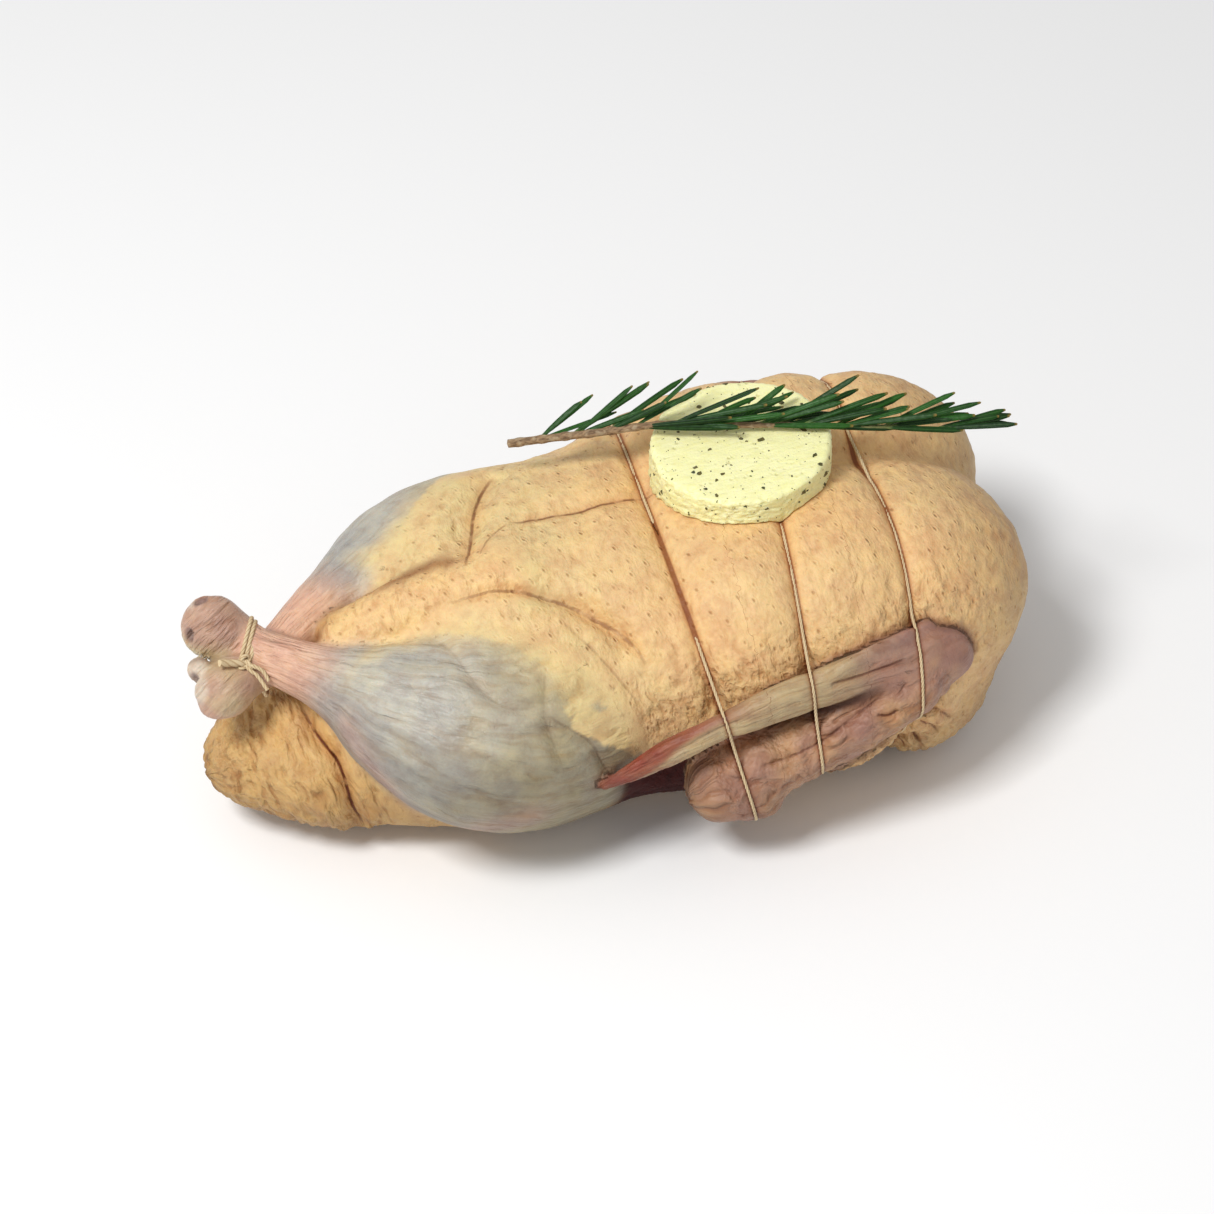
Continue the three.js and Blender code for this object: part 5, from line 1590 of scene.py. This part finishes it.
flecks = run_tree(new_object("fleck_carrier", butter.data.copy()), fleck_tree, "herb_flecks", density=42000.0,
    smallest=0.0006, largest=0.0034, seed=5, shapes=flakes, material=herb)
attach(flecks, "root")
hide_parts("herb_butter")
print("flecks:", len(flecks.data.polygons) // 9)

# %% [markdown]
# ## A sprig of rosemary
#
# The stem is woody, tan and a little fuzzy, with a knot wherever leaves grow from it. The leaves are needles: flat,
# leathery, dark green above with a sunken middle line, rolled at the edges and pale beneath. They stand in
# whorls and lean towards the tip. Only three needle shapes are modelled. Geometry Nodes set one on every foot
# point, so that the count, size and direction of each needle stay numbers that are easy to change.

# %% Run the stem over the butter
STEM = dict(start=(-30, 38), end=(120, -13), droop=10, rise=0.5, radius=1.5, tip_radius=0.7, sides=14)
bed_top = butter_points[:, 2][np.linalg.norm(butter_points[:, :2] - BUTTER["at"], axis=1) < 29].max()
rest = bed_top + STEM["radius"] + STEM["rise"]
stem_start, stem_end = np.array(STEM["start"], float), np.array(STEM["end"], float)
stem_line = smooth_line([(*(stem_start + (stem_end - stem_start) * t), rest - drop * STEM["droop"])
                         for t, drop in ((0, 1), (0.18, 0.5), (0.36, 0), (0.55, 0.03), (0.7, 0), (1, 0.1))], 24)
wander = ramp(0, 0.1, np.linspace(0, 1, len(stem_line)))[:, None]
stem_line += wander * 0.5 * np.stack([0 * stem_line[:, 0], noise(stem_line / 16, 51),
    noise(stem_line / 22, 52)], 1)


def tube(line, radii, sides, bump=lambda i, a: 0.0):
    """A closed tube round a line, with rounded ends. bump adds to the radius at each ring and angle."""
    tangent = unit(np.gradient(line, axis=0))
    side = unit(np.cross(tangent, (0, 0, 1.0)))
    up = np.cross(side, tangent)
    a = np.arange(sides) * 2 * np.pi / sides
    rings = []
    for i in range(len(line)):
        r = radii[i] + bump(i, a)
        rings.append(line[i] + np.outer(r * np.cos(a), side[i]) + np.outer(r * np.sin(a), up[i]))
    vertices = np.vstack([*rings, line[0] - tangent[0] * radii[0] * 0.3,
        line[-1] + tangent[-1] * radii[-1] * 0.8])
    return vertices, ring_faces(len(line), sides)


share_along = np.linspace(0, 1, len(stem_line))
node_every = 0.058
knots = np.exp(-(((share_along / node_every) % 1 - 0.5) * node_every / 0.008) ** 2)
stem_radii = STEM["radius"] + (STEM["tip_radius"] - STEM["radius"]) * share_along ** 1.3
stem_radii += 0.35 * knots * (1 - share_along)
bark = lambda i, a: 0.12 * noise(np.stack([np.cos(a) * 2, np.sin(a) * 2, 0 * a + share_along[i] * 60], 1), 53)
stem_points, stem_faces = tube(stem_line, stem_radii, STEM["sides"], bark)
stem = make_object("rosemary_stem", stem_points, stem_faces)

wood, shader, mm = new_material("rosemary wood")
streak = noise_field(mm, (6, 0.8, 0.8), 4.0, 0.6)
fuzz = noise_field(mm, 2.5, 3.0)
colour = blend(fade(streak, 0.3, 0.7), linear(104, 80, 56), linear(164, 134, 100))
colour = blend(fade(fuzz, 0.5, 0.65, 0.0, 0.5), colour, linear(188, 172, 142))
green_end = fade(add("ShaderNodeSeparateXYZ", {0: mm}).outputs[0], 60, 120)
colour = blend(green_end, colour, linear(96, 116, 60))
finish_with(shader, colour, 0.8, times(streak, 0.4))
stem.data.materials.append(wood)
print("stem:", len(stem_faces), "faces, from", stem_line[0].round(1), "to", stem_line[-1].round(1))

# %% Shape three needles
NEEDLE_WIDTH = ((0, 0.4), (0.08, 0.6), (0.3, 0.88), (0.6, 1.0), (0.87, 0.98), (0.96, 0.78), (1, 0.4))
SECTION = ((1.0, 0.02), (0.62, 0.30), (0.16, 0.36), (0.0, 0.22), (-0.16, 0.36), (-0.62, 0.30), (-1.0, 0.02),
           (-0.8, -0.20), (-0.25, -0.06), (0.25, -0.06), (0.8, -0.20))


def needle_shape(name, bend, twist):
    """A needle along +X, one unit long, two units wide across Y and with its upper face towards +Z."""
    rings = []
    for s in np.linspace(0, 1, 9):
        wide = np.interp(s, *zip(*NEEDLE_WIDTH))
        turn = twist * s
        section = np.array([(0, y * wide, z * (0.55 + 0.45 * wide)) for y, z in SECTION])
        c, n = math.cos(turn), math.sin(turn)
        section = section @ np.array([[1, 0, 0], [0, c, n], [0, -n, c]])
        rings.append(section + (s, 0, bend * s * s))
    vertices = np.vstack([*rings, [(-0.01, 0, 0.1)], [(1.01, 0, bend + 0.1)]])
    mesh = bpy.data.meshes.new(name)
    mesh.from_pydata(vertices.tolist(), [], [(f[0], *f[:0:-1]) for f in ring_faces(len(rings), len(SECTION))])
    smooth_faces(mesh)
    keep(mesh, "needle_along", "FLOAT", vertices[:, 0])
    keep(mesh, "needle_across", "FLOAT", np.r_[np.tile([y for y, _ in SECTION], len(rings)), 0, 0])
    keep(mesh, "needle_under", "FLOAT", np.r_[np.tile([float(z < 0) for _, z in SECTION], len(rings)), 0, 0])
    return bpy.data.objects.new(name, mesh)


needle_shapes = bpy.data.collections.new("needle shapes")
for i, (bend, twist) in enumerate(((-1.2, 0.15), (0.5, -0.2), (-2.6, 0.3))):
    needle_shapes.objects.link(needle_shape(f"needle_{i}", bend, twist))

# %% Needle material
leaf, shader, mm = new_material("rosemary leaf")
read = lambda name: add("ShaderNodeAttribute", attribute_name=name).outputs["Fac"]
lengthwise, crosswise = read("needle_along"), read("needle_across")
under, shade = read("needle_under"), read("needle_shade")
mottled = noise_field(mm, 1.6, 3.0)
colour = blend(shade, linear(10, 46, 8), linear(34, 88, 20))
colour = paint(
    colour,
    (fade(maths("ABSOLUTE", crosswise), 0.16, 0.0, 0.0, 0.45), (92, 130, 70)),
    (fade(maths("ABSOLUTE", crosswise), 0.75, 1.0, 0.0, 0.35), (92, 132, 64)),
    (fade(mottled, 0.4, 0.7, 0.0, 0.3), (16, 50, 22), "MULTIPLY"),
    (times(under, 0.75), (170, 186, 150)),
    (fade(lengthwise, 0.12, 0.0, 0.0, 0.6), (150, 160, 96)),
    (fade(lengthwise, 0.955, 1.0, 0.0, 0.75), (150, 120, 60)))
finish_with(shader, colour, fade(mottled, 0.3, 0.7, 0.4, 0.55), times(mottled, 0.15))
shader.inputs["Specular IOR Level"].default_value = 0.25
print("leaf material:", len(tree.nodes), "nodes")

# %% Grow the needles
NEEDLES = dict(whorls=13, first=0.08, last=0.985, length=(22, 34), width=1.12, thick=0.8, seed=7)
WHORL = ((28, 55), (16, 90), (34, 30), (9, 190), (22, 70), (38, 45), (7, 160), (14, 20))
LOOK = np.array([-0.2, -0.68, 0.7])
grow = np.random.default_rng(NEEDLES["seed"])
feet, aims, faces_up, sizes, kinds, shades = [], [], [], [], [], []
for i in range(NEEDLES["whorls"]):
    t = NEEDLES["first"] + (NEEDLES["last"] - NEEDLES["first"]) * (i / (NEEDLES["whorls"] - 1)) ** 0.92
    count = 3 + (i % 2) + (3 if t > 0.8 else 0)
    first = int(grow.integers(len(WHORL)))
    for k in range(count):
        spread_base, turn_base = WHORL[(first + 3 * k) % len(WHORL)]
        at = np.clip(t + grow.uniform(-0.012, 0.012), 0, 1) * (len(stem_line) - 1)
        low = min(int(at), len(stem_line) - 2)
        foot = stem_line[low] + (at - low) * (stem_line[low + 1] - stem_line[low])
        along = unit(stem_line[low + 1] - stem_line[low])
        side = unit(np.cross((0, 0, 1.0), along))
        turn = math.radians(turn_base + grow.uniform(-14, 14))
        spread = math.radians((spread_base + grow.uniform(-5, 6)) * np.interp(t, (0, 0.8, 1), (1.15, 0.9, 0.5)))
        out = side * math.cos(turn) + np.array([0, 0, 1.0]) * math.sin(turn)
        aim = unit(along * math.cos(spread) + out * math.sin(spread))
        aim[2] = max(aim[2], -0.02)
        feet.append(foot + out * 0.5)
        aims.append(unit(aim))
        facing = LOOK + 0.5 * out + grow.uniform(-0.25, 0.25, 3)
        faces_up.append(unit(facing - (facing @ aim) * aim))
        length = grow.uniform(*NEEDLES["length"]) * np.interp(t, (0, 0.14, 0.9, 1), (0.7, 1, 1, 0.8))
        sizes.append((length, NEEDLES["width"], NEEDLES["thick"]))
        kinds.append(int(grow.integers(3)))
        shades.append(grow.uniform())

foot_mesh = bpy.data.meshes.new("needle_feet")
foot_mesh.from_pydata(((np.array(feet) + PLACE) / 1000).tolist(), [], [])
keep(foot_mesh, "aim", "FLOAT_VECTOR", np.array(aims))
keep(foot_mesh, "upper", "FLOAT_VECTOR", np.array(faces_up))
keep(foot_mesh, "size", "FLOAT_VECTOR", np.array(sizes) / 1000)
keep(foot_mesh, "needle_shade", "FLOAT", np.array(shades))
kind = foot_mesh.attributes.new("kind", "INT", "POINT")
kind.data.foreach_set("value", kinds)

needle_tree, given, result = new_tree("Needles on a stem",
    {"Geometry": "Geometry", "Shapes": "Collection", "Material": "Material"})
named = lambda name, kind: add("GeometryNodeInputNamedAttribute", {"Name": name}, data_type=kind).outputs[0]
facing = add("FunctionNodeAxesToRotation", {"Primary Axis": named("aim", "FLOAT_VECTOR"),
    "Secondary Axis": named("upper", "FLOAT_VECTOR")}, primary_axis="X", secondary_axis="Z").outputs[0]
shapes = add("GeometryNodeCollectionInfo", {"Collection": given["Shapes"], "Separate Children": True,
    "Reset Children": True}).outputs[0]
grown = add("GeometryNodeInstanceOnPoints", {"Points": given["Geometry"], "Instance": shapes,
    "Pick Instance": True, "Instance Index": named("kind", "INT"), "Rotation": facing,
    "Scale": named("size", "FLOAT_VECTOR")}).outputs[0]
grown = add("GeometryNodeRealizeInstances", {"Geometry": grown}).outputs[0]
grown = add("GeometryNodeSetMaterial", {"Geometry": grown, "Material": given["Material"]}).outputs[0]
plug(result["Geometry"], grown)
needles = run_tree(new_object("needle_feet", foot_mesh), needle_tree, "rosemary_needles",
    shapes=needle_shapes, material=leaf)
for piece in (stem, needles):
    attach(piece, "root")
    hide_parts("rosemary_sprig")

# %% [markdown]
# ## Studio
#
# A pale floor, a bright even sky and one large soft lamp from the upper left show skin well: they leave soft
# shadows under the bird and small highlights on it. The camera looks down at the near side with a long lens, as a
# photographer stands back from food to keep its shape true.

# %% Floor, light and camera
floor_mesh = bpy.data.meshes.new("floor")
floor_mesh.from_pydata([(-3, -3, 0), (3, -3, 0), (3, 3, 0), (-3, 3, 0)], [], [(0, 1, 2, 3)])
floor = new_object("floor", floor_mesh)
pale, shader, mm = new_material("pale floor")
shader.inputs["Base Color"].default_value = (0.98, 0.98, 0.98, 1)
shader.inputs["Roughness"].default_value = 0.9
shader.inputs["Specular IOR Level"].default_value = 0.1
floor.data.materials.append(pale)
floor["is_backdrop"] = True

world = bpy.data.worlds.new("studio sky")
world.use_nodes = True
world.node_tree.nodes["Background"].inputs[0].default_value = (1, 1, 1, 1)
world.node_tree.nodes["Background"].inputs[1].default_value = 0.46
bpy.context.scene.world = world


def lamp(name, place, aim, size, watts):
    data = bpy.data.lights.new(name, "AREA")
    data.shape, data.size, data.energy = "SQUARE", size, watts
    made = new_object(name, data)
    made.location = place
    made.rotation_euler = (Vector(aim) - Vector(place)).to_track_quat("-Z", "Y").to_euler()


lamp("key lamp", (-0.8, -0.4, 1.5), (0, 0, 0.05), 0.45, 20.5)

AZIMUTH, ELEVATION = math.radians(-18), math.radians(44)
DISTANCE, PIXELS_PER_MM, FRAME_PIXELS, SENSOR_MM = 1200, 2.73, 1214, 36
camera_data = bpy.data.cameras.new("camera")
camera = new_object("camera", camera_data)
back = Vector((math.sin(AZIMUTH) * math.cos(ELEVATION), -math.cos(AZIMUTH) * math.cos(ELEVATION),
               math.sin(ELEVATION)))
target = Vector((PLACE[0], PLACE[1], 55)) / 1000
camera.location = target + back * DISTANCE / 1000
camera.rotation_euler = (-back).to_track_quat("-Z", "Y").to_euler()
camera_data.sensor_width = SENSOR_MM
camera_data.lens = PIXELS_PER_MM * DISTANCE * SENSOR_MM / FRAME_PIXELS
camera_data.shift_x = -13 / FRAME_PIXELS
camera_data.shift_y = 5 / FRAME_PIXELS
camera_data.clip_start, camera_data.clip_end = 0.01, 20
bpy.context.scene.camera = camera
bpy.context.scene.view_settings.view_transform = "Standard"
print("camera at", [round(v, 3) for v in camera.location], "lens", round(camera_data.lens, 1), "mm")

# %% [markdown]
# ## Compare the two sizes
#
# The dressed model may stand a little proud of the measured one, but it must be the same size. Both boxes
# are printed.

# %% Measure and finish
final_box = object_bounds()
for name, low, high in (("measured", *measured_box), ("dressed", *final_box)):
    print(name, "box, mm:", [round(1000 * v, 1) for v in low], [round(1000 * v, 1) for v in high])
